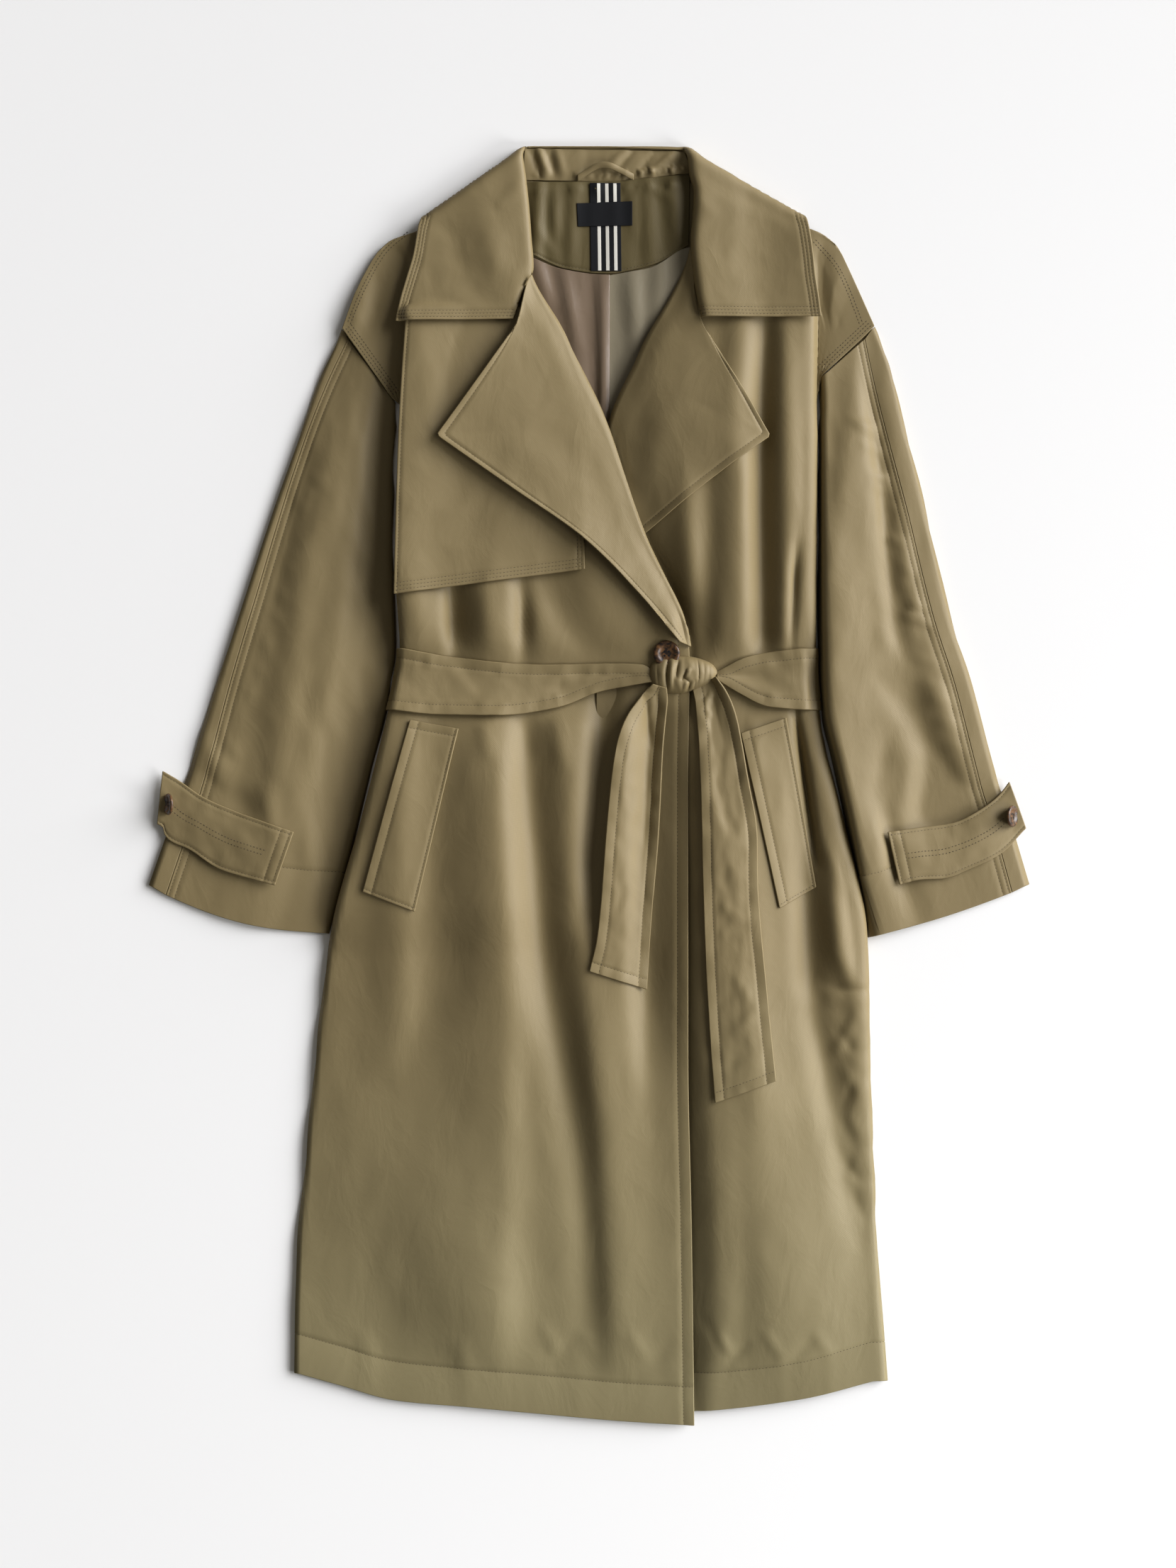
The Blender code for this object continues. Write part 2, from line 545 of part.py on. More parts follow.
def collar_fall():
    """The collar: a leaf on each shoulder, joined by its part that lies folded behind the neck."""
    across = np.array(COLLAR_ACROSS)
    grid = []
    for index, station in enumerate(COLLAR):
        x = station.roll_x + (station.outer_x - station.roll_x) * across
        y = station.roll_y + (station.outer_y - station.roll_y) * across
        z = np.full_like(across, station.level)
        if COLLAR_TURN_RIGHT < index < COLLAR_TURN_LEFT:
            z[:2] = (4.4, 3.0)
            y[1:3] = (586.3, 585.2)
        else:
            z[0] -= 2.6
        grid.append(np.column_stack([x, y, z]))
    grid = np.array(grid)
    below = ["front_right", "front_left", "storm_flap", "lapel_right", "lapel_left"]
    leaf_rows = list(range(COLLAR_TURN_RIGHT - 1)) + list(range(COLLAR_TURN_LEFT + 1, len(COLLAR) - 1))
    grid = laid_on(grid, below, rows=leaf_rows)
    for end in (slice(0, COLLAR_TURN_RIGHT), slice(COLLAR_TURN_LEFT + 1, None)):
        grid[end, 1, 2] += 1.4
        grid[end, 2, 2] += 2.4
        grid[end, 3, 2] += 0.8
    sheet("collar_fall", grid, DOUBLE, KHAKI)


def belt_side(side, side_line, trees):
    """Columns of the belt round one side of the body, from the front to the surface below."""
    y = np.array(BELT_ROWS)
    x = line_at(side_line, y)
    top = np.array([top_surface(trees, at_x - side * SIDE_ROLL, at_y) for at_x, at_y in zip(x, y)])
    x = x + side * (CLOTH + 2 * SEAM)
    roll = SIDE_ROLL + CLOTH + 2 * SEAM
    low = np.full(len(y), DOUBLE + 0.05)
    return side_turn(x, y, top + 2 * SEAM, low, side, roll, roll)


def belt():
    """The belt's loop: from the knot over the left front, behind the back, to the knot again."""
    trees = trees_of(["front_right", "front_left"])
    left_side, right_side = belt_side(1, SIDE_LEFT, trees), belt_side(-1, SIDE_RIGHT, trees)
    across = steps(len(BELT_ROWS) - 1)

    def stretch(top, bottom, count):
        upper, lower = along(top, steps(count)), along(bottom, steps(count))
        flat = upper[None] * (1 - across[:, None, None]) + lower[None] * across[:, None, None]
        return laid_on(at_height(flat, 0), ["front_right", "front_left"])

    def fold_point(side, line, y):
        return Point(line_at(line, y) - side * SIDE_ROLL, y)

    high, low = BELT_ROWS[0], BELT_ROWS[-1]
    left = stretch((Point(121, 103), Point(146, 118), Point(166, 122), fold_point(1, SIDE_LEFT, high)),
                   (Point(121, 99), Point(140, 85), Point(166, 73), fold_point(1, SIDE_LEFT, low)), 6)
    right = stretch((fold_point(-1, SIDE_RIGHT, high), Point(-125, 118), Point(-43, 111),
                     Point(46, 113), Point(57, 105)),
                    (fold_point(-1, SIDE_RIGHT, low), Point(-141, 66), Point(-83, 65),
                     Point(-29, 72), Point(11, 87), Point(57, 96)), 13)
    inner = (left_side[:, -1], right_side[:, -1])
    shares = steps(6)[1:-1, None, None]
    behind = np.moveaxis(inner[0][None] * (1 - shares) + inner[1][None] * shares, 0, 1)
    grid = np.concatenate([left, left_side, behind, right_side[:, ::-1], right], 1)
    sheet("belt", grid, DOUBLE, KHAKI)


def knot():
    """The belt's knot: a rounded pad over the place where the belt's ends cross."""
    mesh = bpy.data.meshes.new("belt_knot")
    pad = bmesh.new()
    bmesh.ops.create_cube(pad, size=1.0)
    bmesh.ops.subdivide_edges(pad, edges=pad.edges[:], cuts=1, use_grid_fill=True)
    for vertex in pad.verts:
        vertex.co.x *= KNOT_SIZE[0] * MM
        vertex.co.y *= KNOT_SIZE[1] * MM
        vertex.co.z *= KNOT_SIZE[2] * MM
    pad.to_mesh(mesh)
    pad.free()
    mesh.shade_smooth()
    piece = bpy.data.objects.new("belt_knot", mesh)
    trees = trees_of(["front_right", "front_left", "belt"])
    spots = [(x, y) for x in range(64, 116, 4) for y in range(90, 118, 4)]
    base = max(top_surface(trees, *spot) for spot in spots)
    piece.location = Vector((89, 102, base + KNOT_LIFT)) * MM
    smooth = piece.modifiers.new("round", "SUBSURF")
    smooth.levels = 1
    smooth.render_levels = 1
    finish(piece, KHAKI, 0.55)


def button(name, x, y, radius, carriers):
    """A flat round button with a softened rim, seated on the cloth."""
    mesh = bpy.data.meshes.new(name)
    disc = bmesh.new()
    bmesh.ops.create_cone(disc, cap_ends=True, segments=18, radius1=radius * MM, radius2=radius * MM,
                          depth=BUTTON_DEPTH * MM)
    disc.to_mesh(mesh)
    disc.free()
    mesh.shade_smooth()
    piece = bpy.data.objects.new(name, mesh)
    trees = trees_of(carriers)
    spots = [(x + radius * share * math.cos(turn), y + radius * share * math.sin(turn))
             for share in (0.5, 1.0) for turn in np.linspace(0, 2 * math.pi, 24, endpoint=False)]
    base = max(top_surface(trees, *spot) for spot in spots)
    piece.location = Vector((x, y, base + SEAM + BUTTON_DEPTH / 2)) * MM
    rim = piece.modifiers.new("rim", "BEVEL")
    rim.width = 1.2 * MM
    rim.segments = 1
    finish(piece, HORN, 0.25)


def hang_loop():
    """A narrow tape sewn down at both ends under the collar's stand, to hang the coat by."""
    middle = along(LOOP_PATH, steps(6))
    half = np.array([0, LOOP_WIDTH / 2])
    flat = np.stack([middle + half, middle - half])
    patch_piece("hang_loop", flat, ["collar_stand", "neck_facing"], 1.0, KHAKI)


def neck_pieces():
    """What shows inside the neck: the stand, the facing, the lining, the tape, label and loop."""
    stand = between((Point(-49, 584.6), Point(-52, 560)), (Point(82, 584.6), Point(92, 566)), 3, 8)
    stand[-1, :, 1] = np.interp(stand[-1, :, 0], (-52, 18, 73, 92), (559.5, 558.2, 563.5, 566))
    heights = np.tile(np.array([2.6, 3.4, 3.5, 2.5])[:, None], (1, 9))
    sheet("collar_stand", np.dstack([stand, heights]), DOUBLE, KHAKI)
    facing = between((Point(-56, 554), Point(-51, 490)), (Point(94, 560), Point(93, 499)), 3, 8)
    facing[0, :, 1] = np.interp(facing[0, :, 0], (-56, 18, 73, 94), (557, 557.4, 562.5, 564))
    facing[-1, :, 1] = np.interp(facing[-1, :, 0], (-51, -19, 18, 60, 93), (490, 477, 473, 481, 499))
    patch_piece("neck_facing", facing, ["back_panel"], SATIN, KHAKI_DARK)
    seam_x = 20.0
    right = between((Point(-62, 489), Point(-40, 420), Point(-6, 330)),
                    (Point(seam_x, 472), Point(seam_x, 320)), 7, 3)
    right[0, :, 1] = np.interp(right[0, :, 0], (-62, -19, 18, 60), (492, 476, 472, 480)) - 0.6
    patch_piece("lining_back_right", right, ["back_panel"], SATIN, SATIN_ROSE, roughness=0.35)
    left = between((Point(seam_x + SEAM, 472), Point(seam_x + SEAM, 320)),
                   (Point(104, 500), Point(62, 400), Point(36, 330)), 7, 3)
    left[0, :, 1] = np.interp(left[0, :, 0], (18, 60, 93, 104), (470.5, 478.5, 496.5, 497))
    patch_piece("lining_back_left", left, ["back_panel"], SATIN, SATIN_GREY, roughness=0.35)
    tape = four_sided((2, 556), (30, 556), (31, 475), (3, 475), 3, 1)
    patch_piece("stripe_tape", tape, ["neck_facing"], 0.6, INK)
    label = four_sided((-10, 537), (41, 539), (41, 517), (-9, 516), 1, 4)
    patch_piece("label", label, ["neck_facing", "stripe_tape"], 0.6, INK)
    hang_loop()


COAT = bpy.data.collections.new("trench_coat")


def main():
    for item in list(bpy.data.objects):
        bpy.data.objects.remove(item)
    bpy.context.scene.collection.children.link(COAT)
    right_ends = front("front_right", -1, SIDE_RIGHT, EDGE_RIGHT, SHOULDER_RIGHT, HEM_RIGHT,
                       SHOULDER_TIP_RIGHT, ARMHOLE_RIGHT, LEVELS_RIGHT, FOLDS_RIGHT,
                       lambda x, y: 0.0 * x)
    left_ends = front("front_left", 1, SIDE_LEFT, EDGE_LEFT, SHOULDER_LEFT, HEM_LEFT,
                      SHOULDER_TIP_LEFT, ARMHOLE_LEFT, LEVELS_LEFT, FOLDS_LEFT, lap_left)
    back_panel(right_ends, left_ends)
    sleeve("sleeve_right", **SLEEVE_RIGHT)
    sleeve("sleeve_left", **SLEEVE_LEFT)
    neck_pieces()
    patch_piece("storm_flap", between(*STORM_FLAP, 7, 7), ["front_right"], DOUBLE, KHAKI)
    lapel("lapel_left", 1, EDGE_LEFT, *LAPEL_LEFT, "front_left", ["front_left"])
    lapel("lapel_right", -1, EDGE_RIGHT, *LAPEL_RIGHT, "front_right",
          ["front_right", "storm_flap", "lapel_left"])
    collar_fall()
    patch_piece("pocket_welt_right", four_sided(*WELT_RIGHT, 7, 3), ["front_right"], DOUBLE, KHAKI)
    patch_piece("pocket_welt_left", four_sided(*WELT_LEFT, 7, 3), ["front_left"], DOUBLE, KHAKI)
    belt()
    button("front_button", 66, 130, BUTTON_RADIUS, ["front_right", "front_left", "belt", "lapel_right"])
    knot()
    under_tails = ["front_right", "front_left", "belt", "pocket_welt_left"]
    patch_piece("belt_tail_right", between(*TAIL_RIGHT, 11, 3), under_tails, DOUBLE, KHAKI)
    patch_piece("belt_tail_left", between(*TAIL_LEFT, 13, 3), under_tails, DOUBLE, KHAKI)
    for name, corners in (("right", STRAP_RIGHT), ("left", STRAP_LEFT)):
        carriers = [f"sleeve_{name}_front", f"sleeve_{name}_back"]
        patch_piece(f"cuff_strap_{name}", four_sided(*corners, 3, 7), carriers, DOUBLE, KHAKI)
    button("cuff_button_right", -379, -18, CUFF_BUTTON_RADIUS, ["cuff_strap_right"])
    button("cuff_button_left", 384, -30, CUFF_BUTTON_RADIUS, ["cuff_strap_left"])


main()
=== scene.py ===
"""The looks of a belted trench coat that lies flat on its back.

Every piece of cloth is a fine sheet on the form of its CAD solid: +Y runs from the hem to the
collar, +X to the wearer's left and +Z up from the surface. Tables are in millimetres.
"""
from collections import namedtuple
import math

import bmesh
import bpy
import numpy as np
from mathutils import Matrix, Vector, noise
from mathutils.bvhtree import BVHTree


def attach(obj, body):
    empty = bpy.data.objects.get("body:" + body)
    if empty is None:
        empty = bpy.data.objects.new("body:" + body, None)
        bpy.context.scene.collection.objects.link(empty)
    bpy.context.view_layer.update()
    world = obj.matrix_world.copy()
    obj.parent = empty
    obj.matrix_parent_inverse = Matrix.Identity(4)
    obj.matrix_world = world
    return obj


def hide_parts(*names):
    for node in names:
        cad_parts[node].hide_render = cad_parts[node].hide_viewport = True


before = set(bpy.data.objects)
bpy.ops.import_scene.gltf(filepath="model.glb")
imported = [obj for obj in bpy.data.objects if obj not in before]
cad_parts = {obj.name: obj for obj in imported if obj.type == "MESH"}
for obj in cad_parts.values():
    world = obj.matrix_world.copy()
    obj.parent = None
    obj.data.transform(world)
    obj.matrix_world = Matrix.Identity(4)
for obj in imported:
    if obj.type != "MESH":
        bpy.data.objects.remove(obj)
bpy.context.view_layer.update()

MM = 0.001
DOWN = Vector((0, 0, -1))
TINY = 1e-9              # keeps a division from dividing by nothing

# Sizes in millimetres. The thicknesses and the belt's height are those of the part's source.
CLOTH = 1.2
DOUBLE = 2.0
SATIN = 0.8
RIBBON = 0.6
FACED = 1.4              # two layers of cloth, sewn and pressed flat
SEAM = 0.3
LIFT = DOUBLE + SEAM     # how far the back is raised where something lies under it
SIDE_ROLL = {-1: 3.2, 1: 12.0}   # reach of a front's rounded side; -1 is the wearer's right
SLEEVE_ROLL = 3.4        # reach of a sleeve's rounded fold
TURN_UNDER = 13.0        # how far a front or sleeve goes on under its side
ROLL_LIP = 1.0           # how far a front's edge pulls back where its lapel rolls
HEM_Y = -592.0
BELT_Y = 98.0
BELT_ROWS = (126.0, 70.0)
BELT_REACH = 45.0        # from the belt's middle to where the back starts to come down
COLLAR_REACH = 440.0     # y above which the back is raised over the collar
RAMP = 28.0              # length of the slope down from a raised stretch
NECK_DROP = 3.5          # how far the back's top edge stays below the fronts' seams
NECK_SEAM_X = 20.0       # the lining's seam down the middle of the back
ARMHOLE_ROW = 5          # row of BODY_ROWS at which the armhole ends
SLEEVE_TURNS = range(20, 161, 20)   # angles of the columns round a fold, in degrees
BODY_TURNS = range(18, 163, 18)
LEAST_SHOULDER = 4.0     # lowest height of the cloth that runs out to an armhole
WIDEST_GAP = 9           # of a sleeve's inner fold from the body, where cloth still bridges it
GAP = 0.45               # clear space under a piece that lies on another
SURFACE_GAP = 0.05       # clear space between the sheets that turn in under a side
CORNER_SHARE = 0.31      # share of a lapel's outline that lies above its outer corner
LIP_REACH = 4.2          # from a lapel's roll line to where it lies down
LOFT = 3.0               # how far a lapel stands up beside its roll line
KNOT_SUNK = 2.5          # how far the knot's edges sink into what is under it
FOLD_DEPTH = 1.5         # one strength for every fold of the tables
FOLD_RUN_OUT = 30        # how far a fold goes on past its first and last marks
FOLD_FADE = 40           # the length over which it fades there

# Stitches, and their rows' distances from a border
STITCH = 2.3             # length of a stitch
STITCH_PITCH = 3.2       # from the start of one stitch to the next
STITCH_START = 1.5       # from a seam's end to its first stitch
STITCH_WIDTH = 0.46      # half the width of a stitch at its middle
STITCH_RISE = 0.32       # how far its middle stands out of the cloth, and sinks into it
STITCH_SUNK = 0.1
GROOVE = 0.75            # half the width of the groove that a row of stitches pulls in
GROOVE_DEPTH = 0.32
HEM_STITCHES = (36,)
EDGE_STITCHES = (2.6,)
BELT_STITCHES = (8.6,)
FLAP_STITCHES = (2.6, 6.0, 9.4)
COLLAR_STITCHES = (2.4, 5.6, 8.8)

# How finely each kind of piece is divided
ROWS_PER_STEP = 12
FIELD_COLUMNS = 78
BACK_COLUMNS = 60
SLEEVE_ROWS = 150
LAPEL_ROWS = 110
LAPEL_COLUMNS = 34
FINE = 3.2               # spacing of the points of a laid piece
BROAD = 4.2              # of a front or sleeve
COARSE = 9.0             # of the back, which is flat
RIM = 0.4                # how far in from a border its roundness reaches
RIM_SHARE = 0.4          # how far a rim stands out, as a share of its wall
LEAST_STEP = 0.3         # closer marks than this become one
END_SHARE = 0.46         # most of a line's length that the close points at one end may take

# View and light
LIGHT_TURN = 24.0        # of the windows from +X towards +Y, in degrees
FLOOR_REACH = 60         # metres, so far that the floor's end shows from no side
DAYLIGHT = (1.0, 1.0, 1.02)
ROOM_COLOUR = (1, 0.955, 0.86, 1)

FRONTS = ["front_right_cloth", "front_left_cloth"]
STRIPES = ["tape_stripe_1", "tape_stripe_2", "tape_stripe_3"]

Point = namedtuple("Point", "x y")
Mark = namedtuple("Mark", "x y size")
Fold = namedtuple("Fold", "height left right path")
Level = namedtuple("Level", "y side edge")
Row = namedtuple("Row", "y edge_y")
Station = namedtuple("Station", "roll_x roll_y outer_x outer_y level")
Crease = namedtuple("Crease", "x0 y0 x1 y1 height width")
Knot = namedtuple("Knot", "x high low height")
Cut = namedtuple("Cut", "piece width length area held rests_on")
Tube = namedtuple("Tube", "side folds seed outer width size")


def outline(*pairs):
    """The points of a line, each given as its x and y."""
    return tuple(Point(*pair) for pair in pairs)


def rows_of(kind, *rows):
    """A table whose rows are named tuples of one kind."""
    return tuple(kind(*row) for row in rows)


def fold_rows(**folds):
    """Folds, each given as its height, its width to either side, and marks of x, y and size."""
    return tuple(Fold(*fold[:3], rows_of(Mark, *fold[3:])) for fold in folds.values())


SIDE_RIGHT = outline(
    (-172, 505), (-171, 425), (-173, 353), (-177, 268), (-177, 190), (-173, 126), (-177, 98),
    (-183, 70), (-207, -27), (-236.5, -136), (-256, -296), (-271, -466), (-273, -540))
SIDE_LEFT = outline(
    (210, 510), (212, 428), (211, 268), (210, 126), (211, 98), (213, 68), (236, -34), (257, -136),
    (260, -256), (267, -414), (276, -545))
EDGE_RIGHT = outline(
    (-57, 554), (-56, 487), (-19, 412), (16, 340), (51, 234), (94, 122), (92, 0), (92, -250),
    (95, -400), (98, -590))
EDGE_LEFT = outline(
    (98, 560), (96, 501), (47, 399), (18, 328), (8, 230), (8, 122), (10, -100), (14, -580))
SHOULDER_RIGHT = outline((-158, 511), (-124, 536), (-60, 554))
SHOULDER_LEFT = outline((101, 560), (150, 544), (196, 517))
HEM_RIGHT = outline(
    (-269, -542), (-229, -553), (-178, -567), (-111, -573), (-35, -580), (33, -586), (98, -590))
HEM_LEFT = outline((14, -580), (100, -577), (193, -566), (264, -549))
ARMHOLE_RIGHT = outline((-226, 421.8), (-179, 355.8))
ARMHOLE_LEFT = outline((264.3, 423.7), (216, 378.4))
BACK_NECK = (18, 556)
BACK_HEM = ((-150, -566), (98, -574))
SHOULDER_TIP_RIGHT = outline((-175, 508), (-194, 492), (-211, 462), (-226, 422))
SHOULDER_TIP_LEFT = outline((210, 513), (229, 499), (249, 458), (264, 424))

BODY_ROWS = rows_of(
    Row,
    (505, 554), (478, 526), (450, 496), (422, 464), (388, 425), (353, 386), (315, 345), (270, 296),
    (225, 246), (186, 202), (154, 162), (126, 128), (98, 98), (70, 66), (40, 34), (0, -6), (-60, -70),
    (-120, -134), (-180, -198), (-240, -262), (-300, -328), (-360, -394), (-420, -460), (-480, -526),
    (-540, -590))
LEVELS_RIGHT = rows_of(
    Level,
    (554, 5.5, 6), (505, 5.5, 7), (430, 16, 9), (353, 18.5, 12), (268, 19.5, 14), (175, 19, 18),
    (135, 17, 17), (98, 10, 12), (60, 17, 14), (0, 20, 17), (-105, 17, 18), (-160, 5.5, 18.5),
    (-300, 3.8, 17), (-400, 3.4, 15), (-500, 3.2, 10.5), (-590, 2.2, 4.8))
LEVELS_LEFT = rows_of(
    Level,
    (560, 6, 5.5), (505, 6, 5.5), (430, 15, 12), (353, 18, 15), (268, 19, 16), (175, 18, 17),
    (135, 14, 15), (98, 10, 11), (60, 14, 13), (0, 17, 17), (-120, 16, 17), (-200, 11, 18),
    (-300, 8, 18), (-400, 6.5, 16), (-500, 5, 13), (-590, 3.2, 4.8))
# How far the middle of the body stands over its sides, at each height
CROWN = outline(
    (0, 560), (2, 440), (4, 300), (3, 160), (0, 98), (4, 40), (5, -100), (4.5, -350), (3, -500),
    (0.6, -590))
# Along the coat: the least height of a front, the height of the left front under the right one,
# the width of the strip that sinks to it, and how much of that is hidden
LEAST_HEIGHT = ((-590, 1.8), (-540, 3.0))
UNDER_HEIGHT = ((-590, 1.8), (-520, 4.4))
UNDER_REACH = ((-480, 16), (60, 14), (120, 26), (230, 60), (330, 84))
UNDER_HIDDEN = ((-560, 0), (-480, 11), (60, 13), (110, 0))

FOLDS_RIGHT = fold_rows(
    chest_outer=(3, 22, 20, (-150, 425, 0.2), (-156, 300, 0.5), (-166, 220, 0.9), (-160, 165, 1.8),
        (-158, 140, 1.4)),
    waist_outer_dip=(-8, 6, 15, (-126, 180, 0.8), (-125, 150, 1), (-123, 125, 0.5)),
    waist_crest=(4, 14, 24, (-92, 190, 0.5), (-90, 150, 1), (-90, 125, 0.5)),
    waist_dip=(-6, 7, 9, (-62, 190, 0.6), (-60, 150, 1), (-60, 125, 0.5)),
    waist_inner=(2, 26, 44, (2, 210, 0.8), (12, 160, 0.9), (20, 125, 0.5)),
    waist_edge_dip=(-3.6, 18, 28, (-42, 215, 1), (-36, 180, 1), (-20, 150, 0.7), (2, 122, 0.5)),
    waist_edge=(4, 12, 10, (76, 165, 0.4), (78, 148, 1), (80, 130, 0.6)),
    under_belt=(-5, 34, 22, (-12, 88, 1), (-8, 70, 0.7), (-6, 54, 0.2)),
    hip_crest=(3, 24, 18, (-166, 62, 0.7), (-170, 0, 1), (-172, -160, 0.9), (-176, -256, 0.3)),
    hip_dip=(-2, 18, 40, (-140, 60, 0.6), (-140, -8, 1), (-144, -160, 0.7), (-160, -256, 0.3)),
    skirt_main=(6.6, 44, 21, (-84, 62, 0.3), (-83, -8, 1), (-80, -100, 1), (-77, -158, 0.9),
        (-78, -256, 0.7), (-80, -355, 0.6), (-82, -450, 0.55), (-84, -530, 0.3)),
    skirt_dip=(-7, 16, 20, (-57, 62, 0.6), (-54, -8, 1), (-49, -60, 1), (-40, -158, 1.1),
        (-22, -256, 0.7), (-6, -355, 0.4), (0, -453, 0.35), (0, -520, 0.2)),
    skirt_inner=(3.8, 14, 24, (-18, 60, 0.2), (-14, -8, 0.3), (-2, -158, 0.3), (6, -256, 1),
        (16, -355, 0.9), (22, -453, 0.8), (26, -530, 0.4)),
    tail_side_dip=(-6, 12, 15, (17, 86, 1), (12, 40, 1), (8, -10, 1), (4, -70, 0.9), (2, -125, 0.5)),
    skirt_edge_dip=(-8, 13, 26, (58, 66, 1), (57, 0, 1), (54, -158, 1.1), (55, -230, 0.7),
        (60, -300, 0.15), (70, -400, 0.0)),
    low_outer=(4.5, 50, 50, (-170, -300, 0.2), (-140, -400, 0.8), (-120, -470, 1), (-112, -520, 0.5)),
    low_dip=(-1.4, 22, 22, (-66, -400, 0.3), (-46, -470, 1), (-42, -530, 0.5)))
FOLDS_LEFT = fold_rows(
    chest_edge=(4, 14, 12, (90, 300, 0.2), (92, 200, 1), (92, 130, 0.6)),
    chest_dip=(-2.6, 12, 12, (122, 430, 0.6), (120, 400, 0.6), (108, 345, 0.15), (113, 267, 0.6),
        (108, 135, 0.8)),
    chest_crest=(5, 26, 13, (140, 425, 0.3), (136, 330, 1), (140, 267, 1), (139, 135, 0.8)),
    chest_outer_dip=(-7, 10, 12, (164, 425, 0.8), (161, 330, 1), (160, 267, 1), (162, 135, 0.9)),
    side_crest=(5, 17, 14, (180, 425, 0.3), (183, 300, 0.8), (186, 135, 0.7)),
    side_slit=(-5.0, 4.5, 4.5, (192, 230, 0.2), (190, 190, 1), (188, 138, 0.6)),
    skirt_edge=(3.5, 13, 26, (108, 40, 0.1), (108, -150, 0.2), (114, -256, 0.5), (119, -355, 0.9),
        (121, -453, 0.9), (121, -530, 0.5)),
    edge_dip=(-1.6, 12, 12, (122, -60, 0.2), (128, -158, 0.4), (134, -256, 0.3), (142, -355, 0.3),
        (142, -453, 0.4), (142, -520, 0.2)),
    skirt_main=(7, 34, 32, (130, 30, 0.4), (133, -100, 0.9), (139, -158, 0.9), (149, -256, 0.9),
        (156, -355, 0.45), (158, -453, 0.25), (160, -525, 0.1)),
    side_fall=(6.4, 56, 56, (172, -210, 0.1), (178, -320, 0.6), (184, -400, 1), (188, -470, 1.2),
        (190, -560, 0.7)),
    hip_dip=(-7, 13, 15, (193, 40, 0.4), (203, -120, 1), (205, -172, 1), (207, -205, 0.55),
        (216, -250, 0.7), (223, -290, 0.6), (234, -335, 0.45), (243, -385, 0.35), (254, -430, 0.1)),
    side_ridge=(4, 10, 12, (226, -60, 0.4), (232, -150, 1), (248, -200, 0.6), (251, -300, 0.3)))
SLEEVE_FOLDS_RIGHT = fold_rows(
    upper_dip=(-1.6, 16, 18, (-252, 330, 0.2), (-272, 260, 0.7), (-288, 220, 1), (-292, 150, 0.4)),
    outer_ridge=(1.8, 20, 18, (-240, 340, 0.4), (-254, 240, 1), (-264, 150, 1), (-276, 60, 0.3)),
    middle_dip=(-1.4, 12, 12, (-238, 230, 0.2), (-252, 150, 1), (-264, 60, 0.6)),
    low_dip=(-1.6, 16, 16, (-300, 100, 0.2), (-310, 20, 1), (-318, -20, 0.4)))
SLEEVE_FOLDS_LEFT = fold_rows(
    inner_ridge=(3.6, 14, 30, (250, 400, 0.3), (242, 307, 1), (231, 220, 0.9), (228, 140, 1),
        (228, 71, 1), (232, 10, 1), (241, -50, 0.9), (255, -110, 0.5)),
    seam_dip=(-5, 8, 12, (256, 400, 0.3), (264, 330, 1), (271, 280, 1), (279, 200, 0.8),
        (285, 130, 0.5)),
    outer_dip=(-4.2, 18, 15, (288, 130, 0.3), (301, 71, 1), (331, 5, 1.1), (346, -24, 0.5)),
    strap_dip=(-4, 34, 24, (304, 30, 0.2), (312, -10, 1), (316, -34, 1), (316, -50, 0.4)),
    low_dip=(-4, 9, 12, (262, 10, 0.1), (272, -30, 0.8), (284, -66, 1), (288, -96, 0.3)))
SLEEVE_RIGHT = dict(
    outer=outline(
        (-226.6, 421.3), (-248, 372), (-278, 289), (-317, 176), (-343, 97), (-369, 9), (-393, -53),
        (-406, -91)),
    seam=outline(
        (-222, 413), (-243, 368), (-273, 287), (-308, 172), (-331, 94), (-354, 9), (-376, -57),
        (-390, -97)),
    inner=outline(
        (-179.6, 355.3), (-182, 268), (-182, 169), (-184, 97), (-203, 12), (-221, -60), (-231, -100),
        (-240, -136)),
    side=-1,
    bow=11.0,
    folds=SLEEVE_FOLDS_RIGHT)
SLEEVE_LEFT = dict(
    outer=outline(
        (264.7, 423.2), (278, 390), (290, 340), (307, 274), (335, 156), (354, 97), (375, 19),
        (394, -47), (407, -91)),
    seam=outline(
        (256, 412.5), (264, 375), (275, 330), (293, 261), (320, 152), (339, 93), (360, 12), (380, -54),
        (392, -97)),
    inner=outline(
        (216.7, 377), (217.3, 350), (216.5, 330), (216, 268), (216, 200), (217, 120), (219, 70),
        (229, 25), (242, -34), (262, -139)),
    side=1,
    bow=3.2,
    folds=SLEEVE_FOLDS_LEFT)
# Height of a sleeve from its outer fold to its inner one
SLEEVE_PROFILES = {
    -1: outline(
        (0, 3.4), (0.13, 3.7), (0.24, 5.2), (0.38, 8.2), (0.5, 9.8), (0.62, 9.4), (0.74, 6.2),
        (0.86, 3.6), (1, 2.6)),
    1: outline((0, 5), (0.3, 9), (0.6, 12.8), (0.85, 16.2), (1, 18.8))}

